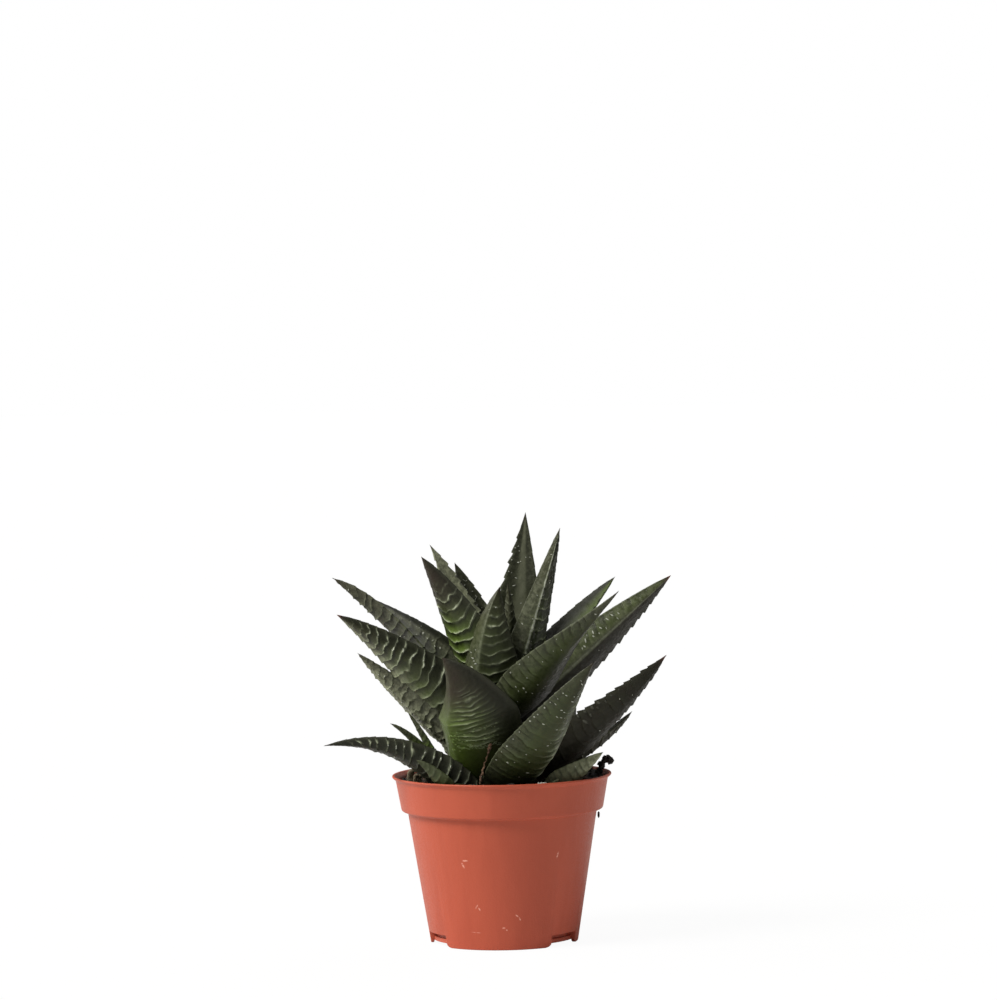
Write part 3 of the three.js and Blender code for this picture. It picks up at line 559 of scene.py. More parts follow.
class Leaf:
    """A leaf's own form, as in the source, with finer ridges, teeth and tubercles."""

    def __init__(self, facts, seed):
        self.__dict__.update({**LEAF_DEFAULTS, **facts})
        self.ends = np.array([self.root, self.middle, self.tip], float)
        self.noise = Noise(seed)
        self.random = np.random.default_rng(seed)
        self.length = np.linalg.norm(self.slope((np.arange(40) + 0.5) / 40), axis=1).mean()
        plant = bpy.context.scene.haworthia_plant
        self.ridge_height = plant.ridge_height / MM * self.ridge
        self.tooth_height = plant.tooth_height / MM
        self.dot_radius = plant.tubercle_radius / MM

    def point(self, t):
        """Points of the leaf's own line, which runs through its root, middle and tip."""
        t = np.asarray(t, float)[:, None]
        a, b, c = self.ends
        return a * (1 - t) * (1 - 2 * t) + b * 4 * t * (1 - t) + c * t * (2 * t - 1)

    def slope(self, t):
        """How fast that line runs, and where to."""
        t = np.asarray(t, float)[:, None]
        a, b, c = self.ends
        return a * (4 * t - 3) + b * (4 - 8 * t) + c * (4 * t - 1)

    def half_width(self, t):
        """From the leaf's line to its margin."""
        swell = self.foot + (1 - self.foot) * np.sin(np.minimum(t / self.widest, 1) * math.pi / 2)
        narrow = 1 - np.maximum((t - self.widest) / (1 - self.widest), 0) ** self.taper
        return 0.5 * self.width * swell * narrow

    def over(self, value, across):
        """A look's value at this place of the width."""
        if not isinstance(value, tuple):
            return value + 0 * across
        return np.interp(across, np.linspace(-1, 1, len(value)), value)

    def phase(self, t, across):
        """Counts the ridges: a whole number is a crest."""
        u = t * self.length
        shift = self.bow * (1 - across ** 2) - self.lean * across
        shift = shift + self.wave * self.noise(u / (1.2 * self.pitch), across * 2.3)
        shift = shift + 0.35 * self.wave * self.noise(u / self.pitch + 9, across * 6)
        shift = shift + 0.12 * self.wave * self.noise(u / self.pitch + 19, across * 15)
        settle_down = smoothstep(0, 0.12, t) * (1 - smoothstep(0.88, 1, t))
        return (u + shift * settle_down - RIDGE_START * self.length) / self.pitch

    def places(self, rows, across):
        """Where on the leaf the rows of ridge counts cross the line at this place of the width."""
        t = np.linspace(0, BLADE_END, 500)
        return np.interp(rows, np.maximum.accumulate(self.phase(t, np.full_like(t, across))), t)

    def ridges(self, t, across):
        """Heights of ridges and of the margin's teeth, then masks of crests, of the painted light on the lit
        ledges and of the painted shade in the grooves.
        """
        phase = self.phase(t, across)
        part = phase - np.floor(phase)
        tipward, rootward = part * self.pitch, (1 - part) * self.pitch
        drop = min(0.4, 0.25 * self.pitch)
        number = np.floor(phase + drop / self.pitch)
        ledge = np.exp(-tipward / (0.3 * self.pitch))
        ledge = ledge + (1 - ledge) * (1 - smoothstep(0, drop, rootward))
        bead = np.exp(-(np.minimum(tipward, rootward) / min(0.36, 0.17 * self.pitch)) ** 2)
        uneven = 0.85 + 0.7 * self.noise(number * 3.7, across * 2.2 + number)
        along = smoothstep(self.first - 0.05, self.first + 0.05, t)
        along = along * (1 - smoothstep(self.last - 0.22, self.last, t))
        gaps = 1 - smoothstep(-0.25, 0.25, self.noise(number * 7.7 + 3, across * 4.5 + number * 2.1))
        uneven = uneven * (1 - self.patchy * gaps)
        strength = np.clip(uneven * self.over(self.side, across), 0.02, 1.3) * along
        seen = np.clip(strength, 0, 1)
        broken = np.clip(0.75 + 0.9 * self.noise(number * 5.1 + 40, across * 6 + number), 0.15, 1)
        # Painted light: the ledge tipward of each crest is lightened, as where light falls on its slope.
        painted_ledge_light = np.exp(-tipward / (0.42 * self.pitch)) * seen
        # Painted shade: the groove rootward of each crest is darkened, as where shade falls in it.
        painted_groove_shade = (1 - smoothstep(0, self.furrow * self.pitch, rootward)) * (1 - bead) * seen
        drop = min(0.9, 0.3 * self.pitch)
        scallop = smoothstep(self.pitch, 0, tipward) * smoothstep(0, drop, np.maximum(rootward, 0))
        tooth = scallop * np.clip(0.9 + 0.6 * self.noise(number * 2.3, number * 0.7), 0.3, 1.3)
        tooth = tooth * self.over(self.tooth, across) * smoothstep(0.08, 0.2, t)
        tooth = tooth * (1 - smoothstep(0.85, 0.97, t))
        height = (0.6 * ledge + 0.4 * bead * (0.6 + 0.5 * broken)) * strength
        return height, tooth, bead * seen * broken, painted_ledge_light, painted_groove_shade

    def surface(self, t, across, side):
        """Points of the skin. across is -1 to 1 over the width; side is -1 underneath, 1 on top."""
        t, across, side = np.broadcast_arrays(*[np.asarray(v, float) for v in (t, across, side)])
        along = unit(self.slope(t))
        azimuth = math.radians(self.azimuth)
        flat = np.array([math.cos(azimuth), math.sin(azimuth), 0])
        lateral = unit(flat - along * (along @ flat)[:, None])
        roll = np.radians(self.roll + self.twist * t ** 2)[:, None]
        lateral = lateral * np.cos(roll) + np.cross(along, lateral) * np.sin(roll)
        upward = np.cross(along, lateral)
        half = self.half_width(t)
        closing = np.minimum(1, (1 - t) * TIP_CLOSING)
        edge = EDGE_HALF_THICKNESS * closing
        from_keel = np.abs(across - self.keel) / (1 - self.keel * np.sign(across - self.keel))
        rounding = 1 - np.minimum(from_keel, 1) ** (1.9 - 0.5 * t)
        height, tooth = self.ridges(t, across)[:2]
        height = height * (1 - 0.5 * t)
        near_edge = smoothstep(MARGIN_START, 1, np.abs(across))
        grain = self.rough * (0.12 * self.noise(t * self.length / 1.1, across * half / 1.1)
                              + 0.1 * self.noise(t * self.length / 0.6 + 30, across * half / 0.6))
        rise = height * self.ridge_height * (1 - 0.4 * across ** 2) + grain
        under = -edge - half * self.belly * rounding - rise
        lumps = 0.15 * self.noise(t * self.length / 2.5 + 5, across * half / 1.6)
        shown = np.maximum(near_edge, self.upper_show)
        upper = edge - half * UPPER_HOLLOW * (1 - across ** 2) + 0.5 * rise * shown + lumps * (1 - near_edge)
        depth = under + (upper - under) * (side + 1) / 2
        bulge = RIM_BULGE * np.sqrt(np.maximum(1 - side ** 2, 0)) * closing
        reach = across * (half + tooth * (1 - 0.5 * t) * self.tooth_height * near_edge + bulge)
        return self.point(t) + lateral * reach[:, None] + upward * depth[:, None]

    def outward(self, t, across, side):
        """Direction out of the skin."""
        wide = self.surface(t, across + 0.03, side) - self.surface(t, across - 0.03, side)
        long = self.surface(t + 0.008, across, side) - self.surface(t - 0.008, across, side)
        return unit(np.cross(long, wide) * side)

    def masks(self, t, across, side):
        """What the skin's material reads at these points, four numbers for each name."""
        _, _, crest, painted_ledge_light, painted_groove_shade = self.ridges(t, across)
        upper = (side + 1) / 2
        near_edge = smoothstep(0.8, 1, np.abs(across))
        show = 1 - upper * (1 - near_edge) * (1 - self.upper_show)
        keel_line = np.exp(-((across - self.keel) / 0.06) ** 2) * self.keel_pale * (1 - upper)
        stripe = np.exp(-((across + 0.02) / 0.3) ** 4) * self.stripe * upper
        fresh = self.over(self.vivid, across) * (1 - smoothstep(self.vivid_to - 0.4, self.vivid_to, t))
        burnt = np.minimum(self.over(self.maroon, across) + self.burnt * smoothstep(0.45, 0.8, t), 1)
        burnt = burnt + (2 - burnt) * self.red_tip * smoothstep(0.92, 1, t)
        # dark is partly the skin's own dark and partly painted shade on the flank turned from the light.
        dark = self.over(self.dark, across)
        dark = np.where(upper > 0.5, np.maximum(dark, self.stripe * (1 - stripe) * 0.5), dark)
        # Painted shade at the root, where the crowded leaves shade it.
        dark = np.maximum(dark, self.foot_dark * (1 - smoothstep(0.08, 0.32, t)))
        # Above 1, pale is partly a painted highlight on the crests.
        crest = np.maximum(crest * show * self.over(self.pale, across), keel_line)
        return dict(
            relief=np.stack([crest, 0 * t, painted_groove_shade * show, stripe], -1),
            place=np.stack([t, upper, near_edge, painted_ledge_light * show], -1),
            tone=np.stack([fresh, burnt, self.over(self.grey, across), dark], -1))

    def grow(self, heap):
        """Adds the whole leaf to the heap."""
        self.add_blade(heap)
        self.add_dots(heap)

    def add_blade(self, heap):
        """The blade, in rows that follow the ridges. A row goes round both faces and both rims."""
        under = np.linspace(-1, 1, self.under + 1)
        upper = np.linspace(1, -1, self.upper + 1)
        rim = np.array([-0.7, 0, 0.7])
        across = np.concatenate([under, np.ones(3), upper, -np.ones(3)])
        side = np.concatenate([-np.ones_like(under), rim, np.ones_like(upper), -rim])
        ends = self.phase(np.array([0.0, BLADE_END]), np.zeros(2))
        parts = np.array(FINE_ROWS if self.fine and self.pitch > 2.5 else PLAIN_ROWS)
        rows = (np.arange(math.floor(ends[0]), math.ceil(ends[1]))[:, None] + parts).ravel()
        rows = np.concatenate([ends[:1], rows[(rows > ends[0] + 0.02) & (rows < ends[1] - 0.02)], ends[1:]])
        t = np.stack([self.places(rows, a) for a in across], -1)
        grid = [t.ravel(), np.tile(across, len(rows)), np.tile(side, len(rows))]
        points = self.surface(*grid)
        ends = np.array([points[:len(across)].mean(0), self.point([1.0])[0]])
        masks = {k: np.vstack([v, v[0], v[-1]]) for k, v in self.masks(*grid).items()}
        heap.add(np.vstack([points, ends]), rings_to_faces(len(rows), len(across)), **masks)

    def crests(self, across):
        """The places of the crests on the line at this place of the width."""
        last = self.phase(np.array([0.9]), np.array([across]))[0]
        return self.places(np.arange(0, max(last, 0)), across)

    def add_dots(self, heap):
        """Single marks, knobs near the margins, dashes on the crests, and dots over both faces."""
        for t, across, size, stretch in self.marks:
            if self.on_crest:
                crests = self.crests(across)
                t = crests[np.argmin(np.abs(crests - t))]
            self.strew(heap, [t], [across], self.marks_side, size, stretch, self.white)
        scale = min(1.0, self.width / 16)
        for sign in (-1, 1):
            chance = self.over(self.knobs, np.array([sign]))[0]
            t = self.crests(KNOB_LINE * sign)
            t = t[self.random.random(len(t)) < chance]
            self.strew(heap, t, np.full(len(t), KNOB_LINE * sign), -1, 1.1 * scale, 1.2)
        for across in DASH_LINES:
            across = across + self.random.uniform(-0.08, 0.08)
            t = self.crests(across)
            t = t[self.random.random(len(t)) < self.dashes * 0.4]
            self.strew(heap, t, np.full(len(t), across), -1, 0.9 * scale, 2.4)
        area = self.length * self.width
        for side, share, room, reach, along, stretch in (
                (-1, self.dots, DOT_AREA, 0.8, (0.12, 0.7), 1.2),
                (1, self.upper_dots, UPPER_DOT_AREA, 0.85, (0.1, 0.75), 1.5)):
            count = int(share * area / room)
            t = along[0] + along[1] * self.random.random(count)
            self.strew(heap, t, self.random.uniform(-reach, reach, count), side, 0.85 * scale, stretch)
        if self.green_knobs:
            t = self.random.uniform(0.3, 0.46, GREEN_KNOBS)
            self.strew(heap, t, self.random.uniform(-0.7, 0.5, GREEN_KNOBS), -1, 0.95, 1.7, 0.1)
            t = GREEN_ROW + 0.006 * self.random.normal(size=GREEN_ROW_KNOBS)
            self.strew(heap, t, np.linspace(-0.5, 0.45, GREEN_ROW_KNOBS), -1, 0.85, 2.4, 0.16)

    def strew(self, heap, t, across, side, size, stretch, white=0.8):
        """Sets one tubercle at each place. stretch is its length over the leaf, in its own widths."""
        if not len(t):
            return
        t, across = np.clip(np.asarray(t, float), 0.02, 0.95), np.asarray(across, float)
        centres, out = self.surface(t, across, side), self.outward(t, across, side)
        along = unit(self.slope(t))
        for centre, normal, tangent, place, width in zip(centres, out, along, t, across):
            radius = self.dot_radius * size * self.random.uniform(0.75, 1.15) * (1 - 0.3 * place)
            other = unit(np.cross(normal, tangent))
            tangent = np.cross(other, normal)
            slant = self.random.uniform(-0.5, 0.5)
            other, tangent = unit(other + slant * tangent), unit(tangent - slant * other)
            long = stretch * self.random.uniform(0.8, 1.25)
            points = (DOT[:, :1] * other * long + DOT[:, 1:2] * tangent + DOT[:, 2:] * normal * 0.65) * radius
            one = np.ones(len(DOT))
            masks = self.masks(one * place, one * width, one * side)
            cap = np.clip(0.1 + DOT[:, 2] * 1.2, 0, 1)
            masks["relief"][:, 1] = cap * white * self.random.uniform(0.6, 1.1)
            masks["tone"][:, 0] += self.green_knobs * 1.6
            heap.add(centre + points, DOT_FACES, **masks)


def dome(sides, rings):
    """A small ball for tubercles."""
    polar = np.linspace(0.25, math.pi - 0.75, rings)[:, None]
    angles = np.arange(sides)[None, :] / sides * 2 * math.pi
    ball = np.stack([np.sin(polar) * np.cos(angles), np.sin(polar) * np.sin(angles),
                     np.cos(polar) + 0 * angles], -1).reshape(-1, 3)
    ball = np.vstack([ball[::-1], [[0, 0, -0.72], [0, 0, 1]]])
    return ball, [face[::-1] for face in rings_to_faces(rings, sides)]


DOT, DOT_FACES = dome(7, 4)


def far_leaves():
    """The far side's leaves, by the same rule as in the source."""
    draw = park_miller(FAR_SEED)
    leaves = []
    for tier in FAR_TIERS:
        for i in range(tier["count"]):
            azimuth = tier["azimuth"] + i * tier["step"] + 4 * (next(draw) - 0.5)
            out = (math.sin(math.radians(azimuth)), -math.cos(math.radians(azimuth)))
            reach = tier["reach"] - 3 * next(draw)
            rise = tier["tip_height"] - tier["root_height"]
            leaves.append(dict(
                FAR_LOOK,
                name=f"leaf_{len(NEAR_LEAVES) + len(leaves) + 1}",
                azimuth=azimuth,
                root=(FAR_ROOT_RADIUS * out[0] + 1, FAR_ROOT_RADIUS * out[1], tier["root_height"]),
                middle=(FAR_BULGE * reach * out[0] + 1, FAR_BULGE * reach * out[1],
                        tier["root_height"] + 0.45 * rise),
                tip=(reach * out[0] + 1, reach * out[1], tier["tip_height"] + 4 * (next(draw) - 0.5)),
                width=tier["width"],
                maroon=0.15 + 0.1 * (len(leaves) % 4),
                vivid=0.1 + 0.12 * (len(leaves) % 3),
            ))
    return leaves


# ---------------------------------------------------------------- materials

class Graph:
    """A tree of shader nodes and the steps that add to it. An input is a value or another node's output."""

    def __init__(self, tree):
        self.tree = tree

    def feed(self, socket, value):
        """Links the value to the socket, or sets the socket to it."""
        if isinstance(value, bpy.types.NodeSocket):
            self.tree.links.new(value, socket)
        else:
            socket.default_value = value

    def place(self, kind, inputs=None, **settings):
        """A new node with its settings and inputs."""
        node = self.tree.nodes.new(kind)
        for name, value in settings.items():
            setattr(node, name, value)
        for name, value in (inputs or {}).items():
            self.feed(node.inputs[name], value)
        return node

    def math(self, operation, a, b):
        return self.place("ShaderNodeMath", {0: a, 1: b}, operation=operation).outputs[0]

    def times(self, a, b):
        return self.math("MULTIPLY", a, b)

    def plus(self, a, b):
        return self.math("ADD", a, b)

    def larger(self, a, b):
        return self.math("MAXIMUM", a, b)

    def capped(self, a):
        """The value, at most 1."""
        return self.math("MINIMUM", a, 1.0)

    def mix(self, share, a, b):
        """The colour a with a share of the colour b."""
        a, b = [c if isinstance(c, bpy.types.NodeSocket) else (*c, 1) for c in (a, b)]
        return self.place("ShaderNodeMix", {0: share, 6: a, 7: b}, data_type="RGBA").outputs[2]

    def ranged(self, value, low, high, to_low=0.0, to_high=1.0):
        """The value's range from low to high, turned smoothly into another range."""
        return self.place("ShaderNodeMapRange", {0: value, 1: low, 2: high, 3: to_low, 4: to_high},
                          interpolation_type="SMOOTHSTEP").outputs[0]

    def channels(self, attribute):
        """The four numbers that the mesh holds under this name."""
        node = self.place("ShaderNodeAttribute", attribute_name=attribute)
        split = self.place("ShaderNodeSeparateColor", {0: node.outputs["Color"]})
        return [*split.outputs[:3], node.outputs["Alpha"]]

    def grain(self, size, stretch=1.0, sharpness=0.5):
        """Broad and fine mottling and specks. size is the largest spot's, in metres."""
        inputs = {"Size": size, "Stretch": stretch, "Sharpness": sharpness}
        return self.place("ShaderNodeGroup", inputs, node_tree=grain_group()).outputs

    def bump(self, height, distance, strength):
        inputs = {"Height": height, "Distance": distance, "Strength": strength}
        return self.place("ShaderNodeBump", inputs).outputs[0]


class Finish(Graph):
    """A new material of one Principled shader."""

    def __init__(self, name):
        self.material = bpy.data.materials.new(name)
        self.material.use_nodes = True
        super().__init__(self.material.node_tree)
        self.tree.nodes.clear()
        self.shader = self.place("ShaderNodeBsdfPrincipled")
        self.output = self.place("ShaderNodeOutputMaterial", {0: self.shader.outputs[0]})

    def set(self, **inputs):
        """Sets the shader's inputs, with _ for a space in their names, and gives the material."""
        for name, value in inputs.items():
            self.feed(self.shader.inputs[name.replace("_", " ")], value)
        return self.material


def grain_group():
    """The group behind Graph.grain, for colour and relief, made once and shared."""
    name = "Surface grain"
    found = bpy.data.node_groups.get(name)
    if found:
        return found
    tree = bpy.data.node_groups.new(name, "ShaderNodeTree")
    for label, value in (("Size", 0.01), ("Stretch", 1.0), ("Sharpness", 0.5)):
        socket = tree.interface.new_socket(label, in_out="INPUT", socket_type="NodeSocketFloat")
        socket.default_value = value
    for label in ("Broad", "Fine", "Specks"):
        tree.interface.new_socket(label, in_out="OUTPUT", socket_type="NodeSocketFloat")
    group = Graph(tree)
    given = group.place("NodeGroupInput").outputs
    scale = group.math("DIVIDE", 1.0, given["Size"])
    stretch = group.place("ShaderNodeCombineXYZ", {0: 1.0, 1: 1.0, 2: given["Stretch"]}).outputs[0]
    where = group.place("ShaderNodeTexCoord").outputs["Object"]
    where = group.place("ShaderNodeVectorMath", {0: where, 1: stretch}, operation="MULTIPLY").outputs[0]
    broad = group.place("ShaderNodeTexNoise", {
        "Vector": where, "Scale": scale, "Detail": 3.0, "Roughness": 0.55})
    fine = group.place("ShaderNodeTexNoise", {
        "Vector": where, "Scale": group.times(scale, 6.0), "Detail": 4.0, "Roughness": 0.6})
    cells = group.place("ShaderNodeTexVoronoi", {"Vector": where, "Scale": group.times(scale, 14.0)})
    group.place("NodeGroupOutput", {
        "Broad": group.ranged(broad.outputs[0], 0.35, 0.65),
        "Fine": group.ranged(fine.outputs[0], 0.3, 0.7),
        "Specks": group.ranged(cells.outputs["Distance"], group.times(given["Sharpness"], 0.5), 0.02)})
    return tree


def shade(colour, factor):
    """The colour made darker or lighter."""
    return tuple(factor * c for c in colour)


def leaf_material(name, light):
    """Skin of the leaves: mottled greens, pale crests, white dots, dried tips, with painted light on the
    ridge ledges and painted shade in the grooves, on shaded flanks and at the root. light freshens all of it.
    """
    plant = bpy.context.scene.haworthia_plant
    skin = Finish(name)
    times, ranged, capped, larger = skin.times, skin.ranged, skin.capped, skin.larger
    crest, dot, painted_groove_shade, stripe = skin.channels("relief")
    along, upper, margin, painted_ledge_light = skin.channels("place")
    vivid, maroon, grey, dark = skin.channels("tone")
    grain = skin.grain(0.009, 1.0, 0.6)
    broad, fine, specks = grain["Broad"], grain["Fine"], grain["Specks"]
    brown = capped(maroon)
    # Painted light: the vivid green is stronger on the lit ledges and weaker off them.
    fresh = times(times(vivid, ranged(painted_ledge_light, 0.0, 0.9, 0.45, 1.1)), ranged(broad, 0.0, 1.0, 0.75, 1.1))
    pale = times(crest, ranged(fine, 0.0, 0.8, 0.6, 1.0))
    colour = skin.mix(skin.plus(times(broad, 0.55), times(fine, 0.45)), plant.dark_green, plant.mid_green)
    for share, over in (
            (capped(times(grey, ranged(fine, 0.1, 1.0, 0.3, 0.95))), plant.grey_green),
            # Grey above 1 is thick wax, and on a lit flank, as on leaf_12, partly painted light.
            (times(ranged(grey, 1.0, 2.0), ranged(fine, 0.0, 1.0, 0.4, 1.0)), shade(plant.grey_green, 2.7)),
            (capped(fresh), plant.vivid_green),
            (ranged(fresh, 0.9, 1.9, 0.0, 0.7), shade(plant.vivid_green, 1.9)),
            (times(times(brown, ranged(upper, 0.0, 1.0, 1.0, 0.35)), ranged(broad, 0.0, 1.0, 0.6, 1.0)),
             plant.maroon),
            # Painted light on the ledges, in the crest colour.
            (times(painted_ledge_light, 0.12), plant.ridge_colour),
            (times(stripe, 0.8), plant.grey_green),
            # Painted shade in a darker copy of the dark green: the grooves, the flanks turned from the light
            # and the crowded root; part of dark is the skin's own dark.
            (larger(times(painted_groove_shade, 0.9), times(dark, 0.85)), shade(plant.dark_green, 0.5)),
            (capped(pale), plant.ridge_colour),
            # Above 1, pale whitens the crest, partly as a painted highlight.
            (ranged(pale, 0.75, 1.6, 0.0, 0.9), plant.tubercle_colour),
            (times(margin, 0.12), plant.grey_green),
            (dot, plant.tubercle_colour),
            (times(specks, ranged(grey, 0.0, 1.0, 0.03, 0.25)), plant.grey_green),
            (ranged(along, 0.93, 1.0, 0.0, 0.8), plant.maroon),
            (ranged(maroon, 1.0, 2.0), plant.tip_colour),
            (light, plant.vivid_green)):
        colour = skin.mix(share, colour, over)
    dry = times(larger(times(dark, 0.8), brown), 0.25)
    return skin.set(
        Base_Color=colour, Roughness=skin.plus(ranged(fine, 0.0, 1.0, 0.28, 0.44), dry),
        Coat_Weight=times(larger(crest, dot), 0.35), Coat_Roughness=0.18, IOR=1.45, Specular_IOR_Level=0.25,
        Normal=skin.bump(skin.plus(fine, times(specks, 0.5)), 0.00012, 0.6))


def plastic_material():
    """Matt moulded plastic, with vertical tone bands, fine grain and pale scuffs."""
    pot = bpy.context.scene.haworthia_pot
    skin = Finish("Terracotta nursery plastic")
    bands = skin.grain(0.012, 0.12)
    grain = skin.grain(0.004, 1.0, 0.25)
    colour = skin.mix(skin.times(bands["Broad"], 0.5), pot.plastic, pot.plastic_dark)
    colour = skin.mix(skin.times(grain["Specks"], 0.1), colour, pot.scuff)
    worn = skin.ranged(grain["Fine"], 0.2, 0.7, 0.25, 1.0)
    where = skin.place("ShaderNodeTexCoord").outputs["Object"]
    for centre, turn, size in SCUFFS:
        local = skin.place("ShaderNodeMapping", {
            "Vector": where, "Location": [v * MM for v in centre], "Rotation": (0, turn, 0),
            "Scale": [v * MM for v in size]}, vector_type="TEXTURE").outputs[0]
        reach = skin.place("ShaderNodeVectorMath", {0: local}, operation="LENGTH").outputs["Value"]
        colour = skin.mix(skin.times(skin.ranged(reach, 1.0, 0.3), worn), colour, pot.scuff)
    return skin.set(
        Base_Color=colour, Specular_IOR_Level=0.25,
        Roughness=skin.ranged(grain["Fine"], 0.0, 1.0, 0.42, 0.55),
        Normal=skin.bump(skin.plus(grain["Fine"], bands["Fine"]), 0.00006, 0.5))


def soil_material():
    """Damp peat, lighter where the mesh holds a bit of bark. It is made once and shared."""
    name = "Damp potting soil"
    found = bpy.data.materials.get(name)
    if found:
        return found
    pot = bpy.context.scene.haworthia_pot
    peat = Finish(name)
    grain = peat.grain(0.003)
    light = peat.times(peat.channels("bit")[0], peat.ranged(grain["Fine"], 0.0, 1.0, 0.5, 1.0))
    return peat.set(
        Base_Color=peat.mix(light, pot.soil, pot.soil_light),
        Roughness=peat.ranged(grain["Broad"], 0.0, 1.0, 0.75, 0.98),
        Normal=peat.bump(grain["Fine"], 0.0004, 0.8))


def dry_material(name, dark, pale, size):
    """Dry mottled surface of the stem, the bract, the bits of bark and the grains of grit."""
    skin = Finish(name)
    grain = skin.grain(size, 0.35)
    mottle = skin.plus(skin.times(grain["Broad"], 0.5), skin.times(grain["Fine"], 0.5))
    return skin.set(
        Base_Color=skin.mix(mottle, dark, pale), Roughness=skin.ranged(grain["Fine"], 0.0, 1.0, 0.6, 0.85),
        Normal=skin.bump(grain["Fine"], 0.0002, 0.8))


# ---------------------------------------------------------------- pieces

def cut_notches(pot):
    """Cuts the notches of the foot, with rounded corners beside them, and the drain holes behind them."""
    cutters = []
    half = math.radians(NOTCH_ARC / 2)
    for i in range(NOTCHES):
        middle = math.radians(NOTCH_AZIMUTH - 90 + i * 360 / NOTCHES)
        for inner, bottom, top in (
                (NOTCH_BACK_RADIUS, PLATE_TOP, NOTCH_HEIGHT),
                (PLATE_RIM_RADIUS - 0.01, -1, PLATE_TOP + 0.1)):
            angles = np.linspace(middle - half, middle + half, NOTCH_STEPS)
            sides = ((LIP_RADIUS, angles), (inner, angles[::-1]))
            ring = [(r * math.cos(a), r * math.sin(a)) for r, run in sides for a in run]
            cutters.append(prism(ring, bottom, top))
        for side in (-1, 1):
            cutters.append(foot_corner(middle + side * half, side))
        angles = np.arange(NOTCH_STEPS) / NOTCH_STEPS * 2 * math.pi
        x, y = DRAIN_CENTRE * math.cos(middle), DRAIN_CENTRE * math.sin(middle)
        ring = [(x + DRAIN_RADIUS * math.cos(a), y + DRAIN_RADIUS * math.sin(a)) for a in angles]
        cutters.append(prism(ring, 0, PLATE_TOP + 1))
    for cutter in cutters:
        cut = pot.modifiers.new("cut", "BOOLEAN")
        cut.operation = "DIFFERENCE"
        cut.solver = "MANIFOLD"
        cut.object = cutter
    edge = pot.modifiers.new("edge", "BEVEL")
    edge.limit_method = "ANGLE"
    edge.angle_limit = BEVEL_ANGLE
    edge.width = EDGE_BEVEL * MM
    edge.segments = 2
    apply_modifiers(pot)
    for cutter in cutters:
        bpy.data.meshes.remove(cutter.data)


def foot_corner(edge, side):
    """A wedge that rounds the foot's lower corner beside a notch. side is -1 or 1, away from the notch."""
    share = np.linspace(-0.05, 1, FOOT_CORNER_STEPS)
    angles = edge + side * share * FOOT_CORNER_LENGTH / FOOT_RADIUS
    heights = FOOT_CORNER_HEIGHT * (1 - np.sqrt(1 - (1 - np.clip(share, 0, 1)) ** 2))
    points, faces = [], []
    for angle, height in zip(angles, heights):
        for radius in (PLATE_RIM_RADIUS - 0.02, LIP_RADIUS):
            for z in (-1, height):
                points.append((radius * math.cos(angle), radius * math.sin(angle), z))
    for i in range(len(share) - 1):
        for a, b in ((0, 1), (1, 3), (3, 2), (2, 0)):
            faces.append([4 * i + a, 4 * i + b, 4 * i + 4 + b, 4 * i + 4 + a])
    last = 4 * (len(share) - 1)
    faces += [[0, 2, 3, 1], [last + 1, last + 3, last + 2, last]]
    if side < 0:
        faces = [face[::-1] for face in faces]
    return cutter_of(points, faces)


def prism(ring, bottom, top):
    """A right prism on a counter-clockwise outline, to cut with."""
    count = len(ring)
    points = [(x, y, z) for z in (bottom, top) for x, y in ring]
    faces = [list(range(count))[::-1], list(range(count, 2 * count))]
    faces += [[i, (i + 1) % count, count + (i + 1) % count, count + i] for i in range(count)]
    return cutter_of(points, faces)


def cutter_of(points, faces):
    """A hidden thing to cut with, from points in millimetres."""
    mesh = bpy.data.meshes.new("cutter")
    mesh.from_pydata((np.array(points) * MM).tolist(), [], faces)
    thing = bpy.data.objects.new("cutter", mesh)
    bpy.context.scene.collection.objects.link(thing)
    thing.hide_render = True
    return thing


class HAWORTHIA_OT_pot(bpy.types.Operator):
    """Turns the nursery pot, with its lip, band, notched foot and drain holes"""

    bl_idname = "haworthia.pot"
    bl_label = "Nursery Pot"

    def execute(self, context):
        outline = [
            (0, PLATE_UNDERSIDE), (PLATE_RIM_RADIUS, PLATE_UNDERSIDE), (PLATE_RIM_RADIUS, 0),
            (FOOT_RADIUS, 0), (BODY_TOP_RADIUS, BAND_BOTTOM - 0.4), (BODY_TOP_RADIUS + 0.4, BAND_BOTTOM),
            (BAND_BOTTOM_RADIUS - 0.9, BAND_BOTTOM), (BAND_BOTTOM_RADIUS - 0.2, BAND_BOTTOM + 0.4),
            (BAND_BOTTOM_RADIUS, BAND_BOTTOM + 1.4), (BAND_TOP_RADIUS, POT_HEIGHT - 1.8),
            (LIP_RADIUS - 0.3, POT_HEIGHT - 0.9), (LIP_RADIUS, POT_HEIGHT - 0.5),
            (LIP_RADIUS - 0.2, POT_HEIGHT), (LIP_RADIUS - 0.9, POT_HEIGHT),
            (BAND_TOP_RADIUS - WALL, POT_HEIGHT - 1.6),
            (BAND_BOTTOM_RADIUS - WALL, BAND_BOTTOM + 1.8), (BODY_TOP_RADIUS - WALL, BAND_BOTTOM + 0.8),
            (FOOT_RADIUS - WALL + 1.0, NOTCH_HEIGHT + 2), (NOTCH_BACK_RADIUS - WALL, NOTCH_HEIGHT + 1),
            (NOTCH_BACK_RADIUS - WALL, PLATE_TOP), (0, PLATE_TOP),
        ]
        points, faces = turned(rounded(outline, CORNER_RADIUS), POT_SEGMENTS)
        pot = make_object("pot_shell", points, faces, plastic_material())
        cut_notches(pot)
        pot.data.set_sharp_from_angle(angle=SMOOTH_ANGLE)
        settle(pot, "pot_plastic", "pot")
        return {"FINISHED"}


